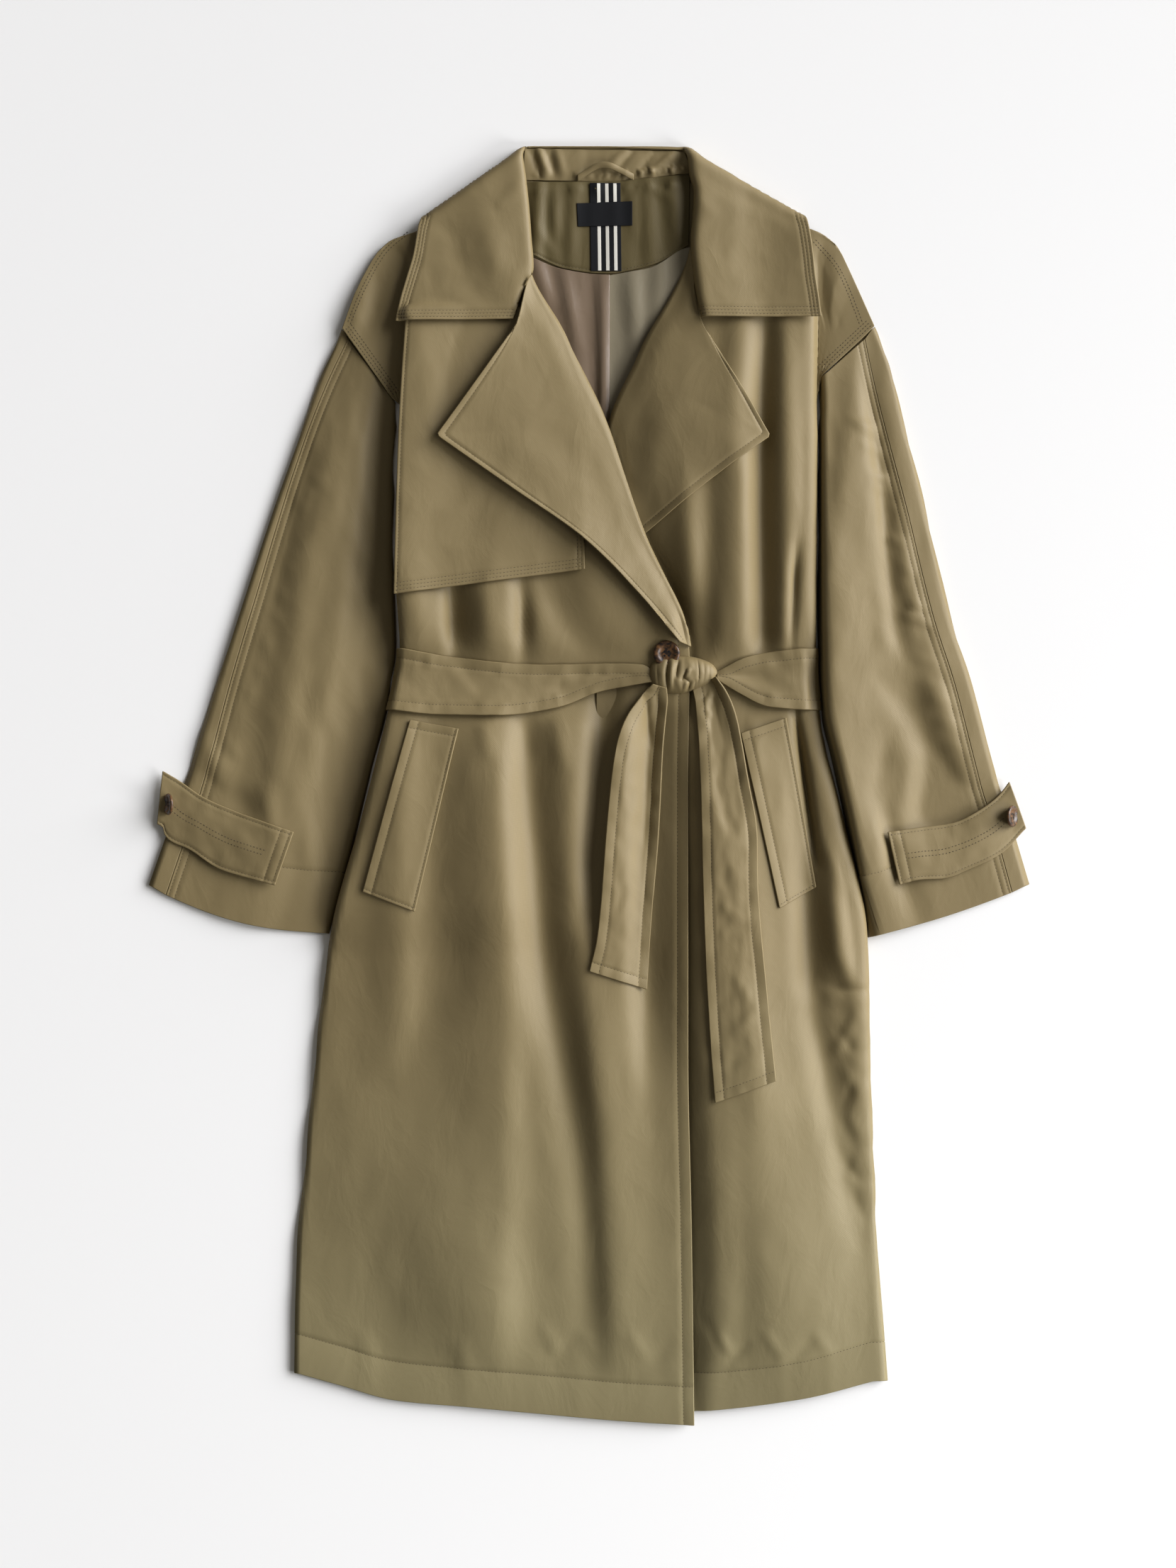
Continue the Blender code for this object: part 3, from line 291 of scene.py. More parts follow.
STORM_FLAP = (
    outline((-166, 440), (-172, 350), (-175, 268), (-177, 176)),
    outline((-42, 440), (-26, 390), (-6, 310), (-3, 199)))
LAPEL_RIGHT = (
    474,
    128,
    outline((-65, 424), (-100, 374), (-138, 321)),
    outline((-138, 321), (-71, 274), (-3, 226), (47, 176), (84, 132)))
LAPEL_LEFT = (
    495,
    214,
    outline((102, 427), (136, 374), (167, 321)),
    outline((167, 321), (112, 281), (54, 234), (18, 206)))
COLLAR = rows_of(
    Station,
    (-69, 429, -176, 427, 14), (-60, 453, -172, 447, 14), (-51, 478, -166, 468, 13),
    (-53, 505, -160, 489, 12), (-55, 532, -157, 506, 11), (-58, 560, -155, 517, 9),
    (-61, 582, -153, 522, 8), (-58, 589, -150, 525, 5), (-56, 589, -147, 522, 2.05),
    (-45, 589, -120, 500, 2.05), (-20, 589, -60, 482, 2.05), (15, 589, 18, 478, 2.05),
    (54, 588, 100, 482, 2.05), (78, 587, 165, 500, 2.05), (88, 586.5, 195, 522, 2.05),
    (90, 586.5, 198, 525, 5), (93, 581, 201, 522, 8), (95, 564, 203, 515, 9), (99, 546, 205, 503, 11),
    (98, 524, 207, 488, 12), (96, 501, 209, 468, 13), (99, 466, 212, 448, 14), (105, 431, 214, 431, 14))
COLLAR_ACROSS = (0.0, 0.012, 0.06, 0.30, 0.53, 0.77, 1.0)
LAPEL_LIP = ((2.2, -1.2), (0.9, -0.9), (0.2, 0.0), (0.3, 1.0), (1.2, 1.9), (2.6, 2.5))
LAPEL_LIP_TOP = 2.6      # the rise in that table at which a lapel's lying part starts
# Height of each leaf over its station's level, from the roll line outwards
COLLAR_RISE = {-1: (-1.6, 2.4, 3.6, 3.8, 3.4, 2.6, 1.6), 1: (-1.6, 5.0, 7.2, 5.4, 2.8, 3.0, 4.4)}
COLLAR_TURN_RIGHT = 7
COLLAR_TURN_LEFT = 15
# Behind the neck, between those two stations, the fall's fold stands up a little
COLLAR_FOLD_Z = (4.4, 3.0)
COLLAR_FOLD_Y = (589.3, 588.2)
WELT_RIGHT = outline((-163, 60), (-119, 52), (-159, -115), (-206, -97))
WELT_LEFT = outline((141, 48), (182, 62), (210, -93), (176, -112))
TAIL_RIGHT = (
    outline(
        (60, 93), (53, 87), (46, 78), (38, 67), (31, 52), (26, 34), (22, 6), (18, -34), (9, -139),
        (2, -170)),
    outline((72, 90), (73, 79), (71, 55), (69, 32), (67, -7), (65, -44), (58, -126), (54, -187)))
TAIL_LEFT = (
    outline(
        (97, 88), (99, 78), (102, 45), (104, 0), (106, -89), (107, -125), (112, -224), (117, -290)),
    outline(
        (118, 100), (125, 90), (132, 76), (137, 60), (140, 45), (146, 10), (155, -50), (155, -73),
        (164, -191), (172, -270)))
STRAP_RIGHT = (
    outline((-392, 13), (-376, 3.5), (-357, -9.7), (-325, -24), (-294, -35), (-271, -43)),
    outline(
        (-397, -35), (-391.5, -38.5), (-390.5, -44), (-385, -50.5), (-368, -58), (-340, -76),
        (-307, -86), (-288, -91)))
STRAP_LEFT = (
    outline((276, -43), (306, -39), (335, -35), (361, -23), (381, -7.5), (389, 3)),
    outline((287, -90.5), (306, -86), (328, -85), (350, -77), (381, -62), (404, -39)))
OVERARM_RIGHT = outline((-164, 512), (-186, 494), (-205, 462), (-221, 424))
OVERARM_LEFT = outline((208, 504), (229, 480), (240, 458), (253, 424))
LOOP_PATH = outline((-9, 561), (14, 572.5), (42, 562))


# ---------------------------------------------------------------- curves and grids

def curve(knots, values, at):
    """A smooth curve through values at rising knots, which never overshoots between two."""
    knots, values = np.asarray(knots, float), np.asarray(values, float)
    at = np.clip(np.asarray(at, float), knots[0], knots[-1])
    tail = (1,) * (values.ndim - 1)
    span = np.diff(knots)
    wide = span.reshape((-1, *tail))
    rise = np.diff(values, axis=0) / wide
    before, after = rise[:-1], rise[1:]
    same = before * after > 0
    first, second = 2 * wide[1:] + wide[:-1], wide[1:] + 2 * wide[:-1]
    mean = (first + second) / (first / np.where(same, before, 1)
                               + second / np.where(same, after, 1))
    slope = np.concatenate([rise[:1], np.where(same, mean, 0), rise[-1:]])
    knot = np.clip(np.searchsorted(knots, at, side="right") - 1, 0, len(span) - 1)
    gap = span[knot].reshape(at.shape + tail)
    share = ((at - knots[knot]) / span[knot]).reshape(at.shape + tail)
    start, end = values[knot], values[knot + 1]
    lean, leave = slope[knot] * gap, slope[knot + 1] * gap
    square, cube = share ** 2, share ** 3
    return (start * (2 * cube - 3 * square + 1) + lean * (cube - 2 * square + share)
            + end * (3 * square - 2 * cube) + leave * (cube - square))


def column_at(rows, field, y):
    """One column of a table that runs from high y to low y, read at height y."""
    return curve([-row.y for row in rows], [getattr(row, field) for row in rows],
                 -np.asarray(y, float))


def line_at(line, y):
    """x of an outline where it passes height y; the line runs from high y to low y."""
    return column_at(line, "x", y)


def straight(pairs, at):
    """Straight lines from one pair of place and value to the next."""
    places, values = zip(*pairs)
    return np.interp(at, places, values)


def along(line, fractions):
    """Points of a line at fractions of its length, as an array of x, y."""
    points = np.array([(p[0], p[1]) for p in line], float)
    length = np.concatenate(([0.0], np.cumsum(np.hypot(*np.diff(points, axis=0).T))))
    return curve(length, points, np.asarray(fractions, float) * length[-1])


def steps(count):
    return np.linspace(0, 1, count + 1)


def ease(value):
    value = np.clip(value, 0, 1)
    return value * value * (3 - 2 * value)


def patch(left, right, top, bottom, across):
    """A grid between two side lines given row by row, eased to the top and bottom lines."""
    across = np.asarray(across, float)[None, :, None]
    grid = left[:, None] * (1 - across) + right[:, None] * across
    down = np.linspace(0, 1, len(left))[:, None, None]
    grid = grid + (1 - down) ** 4 * (top[None] - grid[:1])
    return grid + down ** 4 * (bottom[None] - grid[-1:])


def between(left_line, right_line, rows, columns):
    """A flat grid between two lines that run downwards."""
    fractions = steps(rows)
    left, right = along(left_line, fractions)[:, None], along(right_line, fractions)[:, None]
    across = steps(columns)[None, :, None]
    return left * (1 - across) + right * across


def four_sided(top_left, top_right, bottom_right, bottom_left, rows, columns):
    """A flat grid between four corner points, in rows from the top and columns from the left."""
    return between((top_left, bottom_left), (top_right, bottom_right), rows, columns)


def refined(grid, rows, columns):
    """The same surface as a coarse grid's, with a curve through its points both ways."""
    down = curve(range(len(grid)), grid, np.linspace(0, len(grid) - 1, rows + 1))
    turned = down.swapaxes(0, 1)
    wide = curve(range(len(turned)), turned, np.linspace(0, len(turned) - 1, columns + 1))
    return wide.swapaxes(0, 1)


def lift(y):
    """How far the back is raised at y, over the belt behind it and over the collar."""
    over_belt = 1 - ease((np.abs(y - BELT_Y) - BELT_REACH) / RAMP)
    over_collar = ease((y - COLLAR_REACH + RAMP) / RAMP)
    return LIFT * np.maximum(over_belt, over_collar)


def level_at(levels, y, share):
    return column_at(levels, "side", y) * (1 - share) + column_at(levels, "edge", y) * share


def fold_heights(x, y, folds):
    """Sum of soft ridges and troughs, each along its own path and as strong as its marks say."""
    total = np.zeros_like(x)
    for fold in folds:
        offset = x - line_at(fold.path, y)
        fade = (ease((fold.path[0].y + FOLD_RUN_OUT - y) / FOLD_FADE)
                * ease((y - fold.path[-1].y + FOLD_RUN_OUT) / FOLD_FADE))
        width = np.where(offset < 0, fold.left, fold.right)
        total += (FOLD_DEPTH * fold.height * column_at(fold.path, "size", y) * fade
                  * np.exp(-(offset / width) ** 2))
    return total


def crease_heights(x, y, creases):
    """Sum of short straight creases, each fading to nothing at both ends."""
    total = np.zeros_like(x)
    for crease in creases:
        run = np.array([crease.x1 - crease.x0, crease.y1 - crease.y0], float)
        length = np.hypot(*run)
        run = run / length
        forward = ((x - crease.x0) * run[0] + (y - crease.y0) * run[1]) / length
        sideways = (x - crease.x0) * -run[1] + (y - crease.y0) * run[0]
        fade = np.sin(np.pi * np.clip(forward, 0, 1)) ** 0.8
        total += crease.height * fade * np.exp(-(sideways / crease.width) ** 2)
    return total


def unevenness(x, y, wide, tall, seed):
    """Smooth waves between -1 and 1, of about wide by tall millimetres."""
    flat = np.stack([x / wide, y / tall], -1).reshape(-1, 2)
    values = [noise.noise(Vector((a, b, seed * 7.3))) for a, b in flat]
    return np.array(values).reshape(x.shape)


def rumpled(x, y, wide, tall, seed):
    """Small sharp crests between shallow hollows, as cotton keeps them."""
    return 0.5 - 2 * np.abs(unevenness(x, y, wide, tall, seed))


def relief(grid, waves=(), rumples=(), folds=(), creases=()):
    """Sum of folds, creases, and waves and rumples given by height, width, length and seed."""
    x, y = grid[..., 0], grid[..., 1]
    total = fold_heights(x, y, folds) + crease_heights(x, y, creases)
    for shape, sizes in ((unevenness, waves), (rumpled, rumples)):
        for height, *size in sizes:
            total = total + height * shape(x, y, *size)
    return total


def pucker_rows(line, count, reach, lean, height, width, seed):
    """Short creases that cross a seam at uneven places, as stitching leaves them."""
    rng = np.random.default_rng(seed)
    creases = []
    for place_on in np.sort(rng.uniform(0.02, 0.98, count)):
        here, there = along(line, [place_on, min(place_on + 0.02, 1)])
        if np.allclose(here, there):
            continue
        run = (there - here) / np.hypot(*(there - here))
        turn = run * lean * rng.uniform(0.5, 1.5) + np.array([-run[1], run[0]])
        size = rng.uniform(0.5, 1.2)
        start, end = here - turn * reach[0] * size, here + turn * reach[1] * size
        creases.append(Crease(*start, *end, height * rng.uniform(0.4, 1.2), width))
    return tuple(creases)


# ---------------------------------------------------------------- meshes

PIECES = {}
TREES = {}
STITCH_ROWS = []


def normals_of(grid):
    normal = np.cross(np.gradient(grid, axis=0), np.gradient(grid, axis=1))
    return normal / np.maximum(np.linalg.norm(normal, axis=-1, keepdims=True), TINY)


def end_marks(insets):
    """Distances from a border of the close points there: its rim, and each stitched groove."""
    marks = [0.0, RIM]
    for inset in insets:
        marks += [inset - GROOVE, inset, inset + GROOVE]
    return [marks[0]] + [b for a, b in zip(marks, marks[1:]) if b > a + LEAST_STEP]


def respaced(grid, first, last, step):
    """Rows spaced evenly, but close together at both borders and at the stitched grooves."""
    chord = np.linalg.norm(np.diff(grid[..., :3], axis=0), axis=-1)
    reach = np.concatenate([np.zeros((1, grid.shape[1])), np.cumsum(chord, 0)])
    total = reach[-1]
    start, end = np.array(end_marks(first)), np.array(end_marks(last))
    count = max(2, int(round((total.mean() - start[-1] - end[-1]) / step)))
    made = []
    for column in range(grid.shape[1]):
        length = total[column]
        near, far = (marks * min(1.0, END_SHARE * length / marks[-1]) for marks in (start, end))
        middle = np.linspace(near[-1], length - far[-1], count + 1)[1:-1]
        at = np.concatenate([near, middle, length - far[::-1]])
        made.append(np.stack([np.interp(at, reach[:, column], grid[:, column, channel])
                              for channel in range(grid.shape[2])], -1))
    grid = np.stack(made, 1)
    lines = [marks_index(first, inset) for inset in first]
    lines += [len(grid) - 1 - marks_index(last, inset) for inset in last]
    for line in lines:
        grid[line, :, 3] = np.minimum(grid[line, :, 3], -GROOVE_DEPTH)
    return grid, lines


def marks_index(insets, inset):
    return int(np.argmin(np.abs(np.array(end_marks(insets)) - inset)))


def dashes_on(points, normals):
    """Remembers a row of stitches that follows points on a piece's outer face."""
    STITCH_ROWS.append((np.array(points), np.array(normals)))


def border_loop(rows, columns):
    """Indices of a grid's border, once round."""
    ids = np.arange(rows * columns).reshape(rows, columns)
    return np.concatenate([ids[0, :-1], ids[:-1, -1], ids[-1, :0:-1], ids[:0:-1, 0]])


def rim_of(inner, outer, normal, loop, wall):
    """Points round a sheet's border that stand a little out from the middle of its wall."""
    middle = (inner[loop] + outer[loop]) / 2
    along_loop = np.roll(middle, -1, 0) - np.roll(middle, 1, 0)
    outward = np.cross(along_loop, normal[loop])
    outward /= np.maximum(np.linalg.norm(outward, axis=-1, keepdims=True), TINY)
    if np.sum(outward * (middle - inner.mean(0))) < 0:
        outward = -outward
    return middle + outward * wall * RIM_SHARE


def sheet_faces(rows, columns, loop):
    """Faces of a sheet: its outer side, its inner side, and two rings round its rim."""
    count = rows * columns
    ids = np.arange(count).reshape(rows, columns)
    upper = np.stack([ids[:-1, :-1], ids[1:, :-1], ids[1:, 1:], ids[:-1, 1:]], -1).reshape(-1, 4)
    turn, ahead = np.arange(len(loop)), np.roll(np.arange(len(loop)), -1)
    rim = 2 * count + turn
    high = np.stack([loop + count, rim, 2 * count + ahead, loop[ahead] + count], -1)
    low = np.stack([rim, loop, loop[ahead], 2 * count + ahead], -1)
    return np.concatenate([upper + count, upper[:, ::-1], high[:, ::-1], low[:, ::-1]])


def cloth(name, grid, wall, material, *nodes, left=(), right=(), top=(), bottom=(), step=FINE):
    """A sheet of cloth with a wall and a soft rim, from a grid of points on its inner face.

    left, right, top and bottom are the distances of stitched rows from those borders.
    """
    grid = np.dstack([grid, np.zeros(grid.shape[:2])])
    grid, across_lines = respaced(grid, top, bottom, step)
    turned, down_lines = respaced(grid.swapaxes(0, 1), left, right, step)
    grid = turned.swapaxes(0, 1)
    depth, grid = grid[..., 3:], grid[..., :3]
    normal = normals_of(grid)
    face = grid + normal * (wall + depth)
    for line in sorted(across_lines):
        dashes_on(face[line], normal[line])
    for line in down_lines:
        dashes_on(face[:, line], normal[:, line])
    inner, outer = grid.reshape(-1, 3), face.reshape(-1, 3)
    loop = border_loop(*grid.shape[:2])
    rim = rim_of(inner, outer, normal.reshape(-1, 3), loop, wall)
    faces = sheet_faces(*grid.shape[:2], loop)
    place(smooth_mesh(name, np.concatenate([inner, outer, rim]), faces.tolist()), material,
          *nodes)


def smooth_mesh(name, points, faces):
    mesh = bpy.data.meshes.new(name)
    mesh.from_pydata((points * MM).tolist(), [], faces)
    mesh.shade_smooth()
    return mesh


def place(mesh, material, *nodes):
    """Shows a mesh as a piece, rides it on the coat and lets it stand for its CAD nodes."""
    piece = bpy.data.objects.new(mesh.name, mesh)
    bpy.context.scene.collection.objects.link(piece)
    piece.data.materials.append(material)
    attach(piece, "root")
    if nodes:
        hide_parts(*nodes)
    PIECES[piece.name] = piece


def tree_of(name):
    if name not in TREES:
        mesh = PIECES[name].data
        points = np.empty(len(mesh.vertices) * 3)
        mesh.vertices.foreach_get("co", points)
        faces = [tuple(face.vertices) for face in mesh.polygons]
        TREES[name] = BVHTree.FromPolygons(points.reshape(-1, 3).tolist(), faces)
    return TREES[name]


def heights_under(points, carriers, floor=0.0):
    """Height of the highest carrier at each x, y, or the floor's."""
    trees = [tree_of(name) for name in carriers]
    heights = np.full(len(points), float(floor))
    for index, (x, y) in enumerate(points):
        start = Vector((x * MM, y * MM, 1.0))
        for tree in trees:
            spot = tree.ray_cast(start, DOWN)[0]
            if spot is not None and spot.z / MM > heights[index]:
                heights[index] = spot.z / MM
    return heights


def blurred(values):
    wide = np.pad(values, 1, mode="edge")
    return (wide[:-2, 1:-1] + wide[2:, 1:-1] + wide[1:-1, :-2] + wide[1:-1, 2:]
            + 2 * values) / 6


def draped(flat, carriers, floor=0.0, gap=GAP, passes=24):
    """Heights of a sheet that lies on its carriers and bridges what is narrow between them."""
    base = heights_under(flat.reshape(-1, flat.shape[-1])[:, :2], carriers, floor)
    base = base.reshape(flat.shape[:2]) + gap
    height = base.copy()
    for _ in range(passes):
        height = np.maximum(base, blurred(height))
    return base, height


def laid(flat, carriers, floor=0.0, gap=GAP, passes=24, extra=None):
    """A grid laid on its carriers, with folds of its own that never sink into them."""
    base, height = draped(flat, carriers, floor, gap, passes)
    if extra is not None:
        height = np.maximum(base, height + extra)
    return np.dstack([flat[..., :2], height])


# ---------------------------------------------------------------- body and sleeves

def crown_at(x, y):
    right, left = line_at(SIDE_RIGHT, y), line_at(SIDE_LEFT, y)
    share = np.clip((2 * x - right - left) / (left - right), -1, 1)
    return line_at(CROWN, y) * (1 - share ** 2)


def under_lap(x, y, z):
    """The left front sinks where the right front lies over it, and near its own roll line."""
    start = np.maximum(line_at(EDGE_LEFT, y), line_at(EDGE_RIGHT, y) + 2)
    hidden = straight(UNDER_HIDDEN, y)
    inward = (x - start + hidden) / (straight(UNDER_REACH, y) + hidden)
    sunk = (1 - np.clip(inward, 0, 1)) ** 2
    return z * (1 - sunk) + (straight(UNDER_HEIGHT, y) + lift(y)) * sunk


def rounded(line, inward, top, low, roll, angles, flare=None):
    """Columns of cloth that round down beside a line, from top to low.

    They start and end a roll inward of the line, or end a flare outward of it.
    """
    middle, half = (top + low) / 2, (top - low) / 2
    columns = []
    for angle in angles:
        turn = math.radians(angle)
        shift = roll if flare is None or angle <= 90 else -flare
        spots = line + inward * np.reshape(shift * (1 - math.sin(turn)), (-1, 1))
        columns.append(np.column_stack([spots, middle + half * math.cos(turn)]))
    return np.stack(columns, 1)


def side_columns(line, top, low, side):
    """Columns of cloth that round down at a side and turn in under the body."""
    inward = np.array([-side, 0])
    turned = rounded(line, inward, top, low, SIDE_ROLL[side], BODY_TURNS)
    under = [np.column_stack([line + inward * TURN_UNDER * share, low])
             for share in (0.5, 0.75, 1.0)]
    return np.concatenate([turned, np.stack(under, 1)], 1)


def shoulder_columns(line, top, low, side, end, tip, at):
    """Columns of cloth that drop from the chest and run out to the armhole seam."""
    x, y = line.T
    reach = side * 4 * np.clip(1 - at / ARMHOLE_ROW, 0, 1)
    roll = side * SIDE_ROLL[side]
    path = [(x - roll, y, top), (x - roll * 0.4, y, top * 0.85 + low * 0.15),
            (x - roll * 0.1, y, top * 0.4 + low * 0.6), (x + reach, y, low)]
    for share in (0.5, 1.0):
        path.append((x + reach + (end[:, 0] - x - reach) * share, y + (end[:, 1] - y) * share,
                     low + 2.7 * share))
    control = np.stack([np.stack(column, -1) for column in path], 0)
    top_row = np.concatenate([control[:1, 0, :2], along(tip, (0.08, 0.16, 0.24, 0.62, 1.0))])
    blend = np.clip(at, 0, 1)[None, :, None]
    control[..., :2] = top_row[:, None] * (1 - blend) + control[..., :2] * blend
    spread = curve(range(6), control, np.linspace(0, 5, 13)[1:])
    dents = relief(spread, creases=SHOULDER_CREASES)
    spread[..., 2] = np.maximum(spread[..., 2] + dents, LEAST_SHOULDER)
    return spread.swapaxes(0, 1)


def front_heights(side, field, share, levels, folds, seed):
    """Height of a front's inner face; share runs from its side to its front edge."""
    x, y = field[..., 0], field[..., 1]
    calm = ease((y - HEM_Y) / 60)
    z = level_at(levels, y, share) + crown_at(x, y)
    z = z + relief(field, waves=((0.9, 55, 130, seed), (0.3, 17, 34, seed + 1)))
    z = z + relief(field, rumples=((0.5, 44, 90, seed + 5),), folds=folds) * calm
    if side > 0:
        z = under_lap(x, y, z)
    z = z + relief(field, creases=BODY_CREASES) * calm
    return np.maximum(z, straight(LEAST_HEIGHT, y) + lift(y) * 0.6)


def front_grid(side, side_line, edge_line, shoulder, hem, tip, armhole, levels, folds, seed):
    """Inner face of one front with its shoulder, in columns from -X to +X, and its side's end."""
    at = np.linspace(0, len(BODY_ROWS) - 1, (len(BODY_ROWS) - 1) * ROWS_PER_STEP + 1)
    side_y, edge_y = curve(range(len(BODY_ROWS)), BODY_ROWS, at).T
    roll = np.array([side * SIDE_ROLL[side], 0])
    line = np.stack([line_at(side_line, side_y), side_y], -1)
    edge = np.stack([line_at(edge_line, edge_y), edge_y], -1)
    edge[:, 0] += side * ROLL_LIP * ease((edge_y - BELT_Y) / 30)
    lines = (line - roll, edge) if side < 0 else (edge, line - roll)
    fractions = steps(FIELD_COLUMNS)
    field = patch(*lines, along(shoulder, fractions), along(hem, fractions), fractions)
    share = fractions if side < 0 else 1 - fractions
    field = np.dstack([field, front_heights(side, field, share, levels, folds, seed)])

    start = field[:, 0 if side < 0 else -1]
    line = start[:, :2] + roll
    turned = side_columns(line, start[:, 2], CLOTH + SURFACE_GAP + lift(side_y), side)
    end = along(armhole, np.clip(at / ARMHOLE_ROW, 0, 1))
    seam = np.full(len(line), CLOTH + LIFT + 0.8)
    spread = shoulder_columns(line, start[:, 2], seam, side, end, tip, at)
    blend = ease(at - ARMHOLE_ROW)[:, None, None]
    strip = spread * (1 - blend) + turned * blend
    parts = (strip[:, ::-1], field) if side < 0 else (field, strip)
    return np.concatenate(parts, 1), strip[:, -1]


def back_grid(right_ends, left_ends):
    """The back, flat on the surface, lifted over the belt and the collar that lie under it."""
    rows = np.linspace(0, 1, len(right_ends))
    inward = curve((0, 0.25, 0.33, 1), (1.8, 1.2, SEAM, SEAM), rows)
    left = right_ends[:, :2] + np.outer(inward, (1, 0.3))
    right = left_ends[:, :2] + np.outer(inward, (-1, 0.3))
    top = (left[0], *SHOULDER_TIP_RIGHT[2:0:-1], *SHOULDER_RIGHT, BACK_NECK, *SHOULDER_LEFT,
           *SHOULDER_TIP_LEFT[1:3], right[0])
    bottom = (left[-1], *BACK_HEM, right[-1])
    fractions = steps(BACK_COLUMNS)
    field = patch(left, right, along(top, fractions) - np.array([0, NECK_DROP]),
                  along(bottom, fractions), fractions)[::3]
    return np.dstack([field, lift(field[..., 1])])


def sleeve_top(tube, start, end, count):
    """Columns of cloth over a sleeve, from one line along it to another."""
    share = steps(count)[None, :, None]
    flat = start[:, None] * (1 - share) + end[:, None] * share
    width, size, seed = tube.width[:, None], tube.size[:, None], tube.seed
    reach = np.hypot(*np.moveaxis(flat - tube.outer[:, None], -1, 0)) / width
    shape = SLEEVE_PROFILES[tube.side]
    profile = curve([p.x for p in shape], [p.y for p in shape], reach)
    bumps = relief(flat, waves=((0.8, 40, 90, seed), (0.35, 14, 22, seed + 1)),
                   rumples=((0.6, 26, 54, seed + 2),), folds=tube.folds)
    bumps = bumps * ease(reach / 0.12)
    if tube.side < 0:
        bumps = bumps * (1 - 0.3 * ease((reach - 0.9) / 0.1))
    bumps = bumps + relief(flat, creases=SLEEVE_CREASES)
    return np.dstack([flat, np.maximum(profile * size + bumps * (0.4 + 0.6 * size), 2.6)])


def sleeve_front(tube, seam, inner, tilt, low):
    """A sleeve's front piece: over its top, round its inner fold and in under it."""
    top = sleeve_top(tube, seam - tilt * SEAM * 3, inner + tilt * SLEEVE_ROLL, 44)
    body = line_at(SIDE_RIGHT if tube.side < 0 else SIDE_LEFT, inner[:, 1])
    gap = np.clip(tube.side * (inner[:, 0] - body) - SEAM * 2, 0, WIDEST_GAP)
    turn = rounded(inner, tilt, top[:, -1, 2], low, SLEEVE_ROLL, SLEEVE_TURNS, gap)
    under = [np.column_stack([inner + tilt * (TURN_UNDER * share - gap * (1 - share))[:, None], low])
             for share in (0.25, 0.6, 1.0)]
    return np.concatenate([top, turn, np.stack(under, 1)], 1)


def sleeve_back(tube, seam, inner, tilt, low):
    """A sleeve's back piece: flat below, round the outer fold and up to the seam."""
    roll = np.minimum(SLEEVE_ROLL, np.hypot(*(seam - tube.outer).T) * 0.8)
    strip = sleeve_top(tube, tube.outer - tilt * roll[:, None], seam, 4)
    wrap = rounded(tube.outer, -tilt, strip[:, 0, 2], low, roll, SLEEVE_TURNS[::-1])
    start, end = inner + tilt * (TURN_UNDER + SEAM), tube.outer - tilt * (roll * 0.9)[:, None]
    flat = [np.column_stack([start * (1 - share) + end * share, low]) for share in steps(12)]
    return np.concatenate([np.stack(flat, 1), wrap, strip], 1)


def sleeve_grids(outer, seam, inner, side, bow, folds, seed):
    """Inner faces of a sleeve's front piece and of its back piece, in columns from -X to +X."""
    rows = steps(SLEEVE_ROWS)
    outer, seam, inner = (along(line, rows) for line in (outer, seam, inner))
    width = np.hypot(*(outer - inner).T)
    tilt = (outer - inner) / width[:, None]
    low = np.full(len(rows), CLOTH + SURFACE_GAP)
    size = (1 - 0.55 * ease((rows - 0.84) / 0.16)) * (0.5 + 0.5 * ease(rows / 0.2))
    tube = Tube(side, folds, seed, outer, width, size)
    grids = [piece(tube, seam, inner, tilt, low) for piece in (sleeve_front, sleeve_back)]
    for grid in grids:
        from_outer = np.hypot(*(grid[..., :2] - outer[:, None]).T).T
        share = np.clip(from_outer / width[:, None], 0, 1)
        grid[..., 1] -= bow * np.sin(np.pi * share) * ease((rows - 0.7) / 0.3)[:, None]
    return [grid[:, ::-side] for grid in grids]


# Small creases, given one by one: a dimple's or pucker's two ends, height and half width
BODY_CREASES = rows_of(
    Crease,
    (-44, -492, -24, -530, 1.3, 5), (-34, -532, -8, -506, -1.4, 5), (36, -500, 56, -532, 1.3, 5),
    (56, -536, 80, -508, -1.2, 5), (-6, -498, 8, -530, 0.8, 5), (118, -500, 132, -524, 1.6, 4),
    (126, -532, 150, -512, -1.5, 4), (160, -498, 182, -530, 1.2, 5), (180, -536, 210, -506, -1.2, 5),
    (206, -500, 226, -528, 1.0, 5), (104, -486, 122, -514, -1.0, 5), (-210, -500, -196, -545, 1.2, 8),
    (-120, -505, -108, -550, 1.2, 8), (-96, 62, -90, 20, 2.0, 7), (-30, 64, -22, 10, 1.8, 7),
    (-60, 66, -56, 20, -1.6, 7), (150, 66, 160, 0, 1.8, 7), (214, -40, 236, -100, 1.6, 7),
    (232, -60, 250, -180, -2.4, 8), (214, -182, 258, -190, -2.6, 3.5), (216, -196, 256, -200, 1.8, 6),
    (252, -204, 226, -250, 2.0, 5), (228, -222, 252, -252, -1.6, 4), (250, -262, 234, -300, -1.6, 4),
    (234, -256, 258, -296, 1.6, 5), (240, -300, 258, -338, 1.8, 5), (258, -330, 238, -368, 1.4, 5),
    (236, -346, 260, -372, -1.4, 4), (244, -372, 266, -424, -1.8, 5), (222, -300, 246, -350, 1.6, 8),
    (189, 84, 212, -78, -11.0, 3.6))
SHOULDER_CREASES = rows_of(
    Crease,
    (217, 492, 215.5, 436, -5.0, 3.5), (232, 484, 226, 430, 2.2, 7), (-190, 486, -196, 430, -2.0, 6),
    (-206, 462, -214, 420, 2.0, 6), (-178, 470, -176, 424, 1.6, 5))
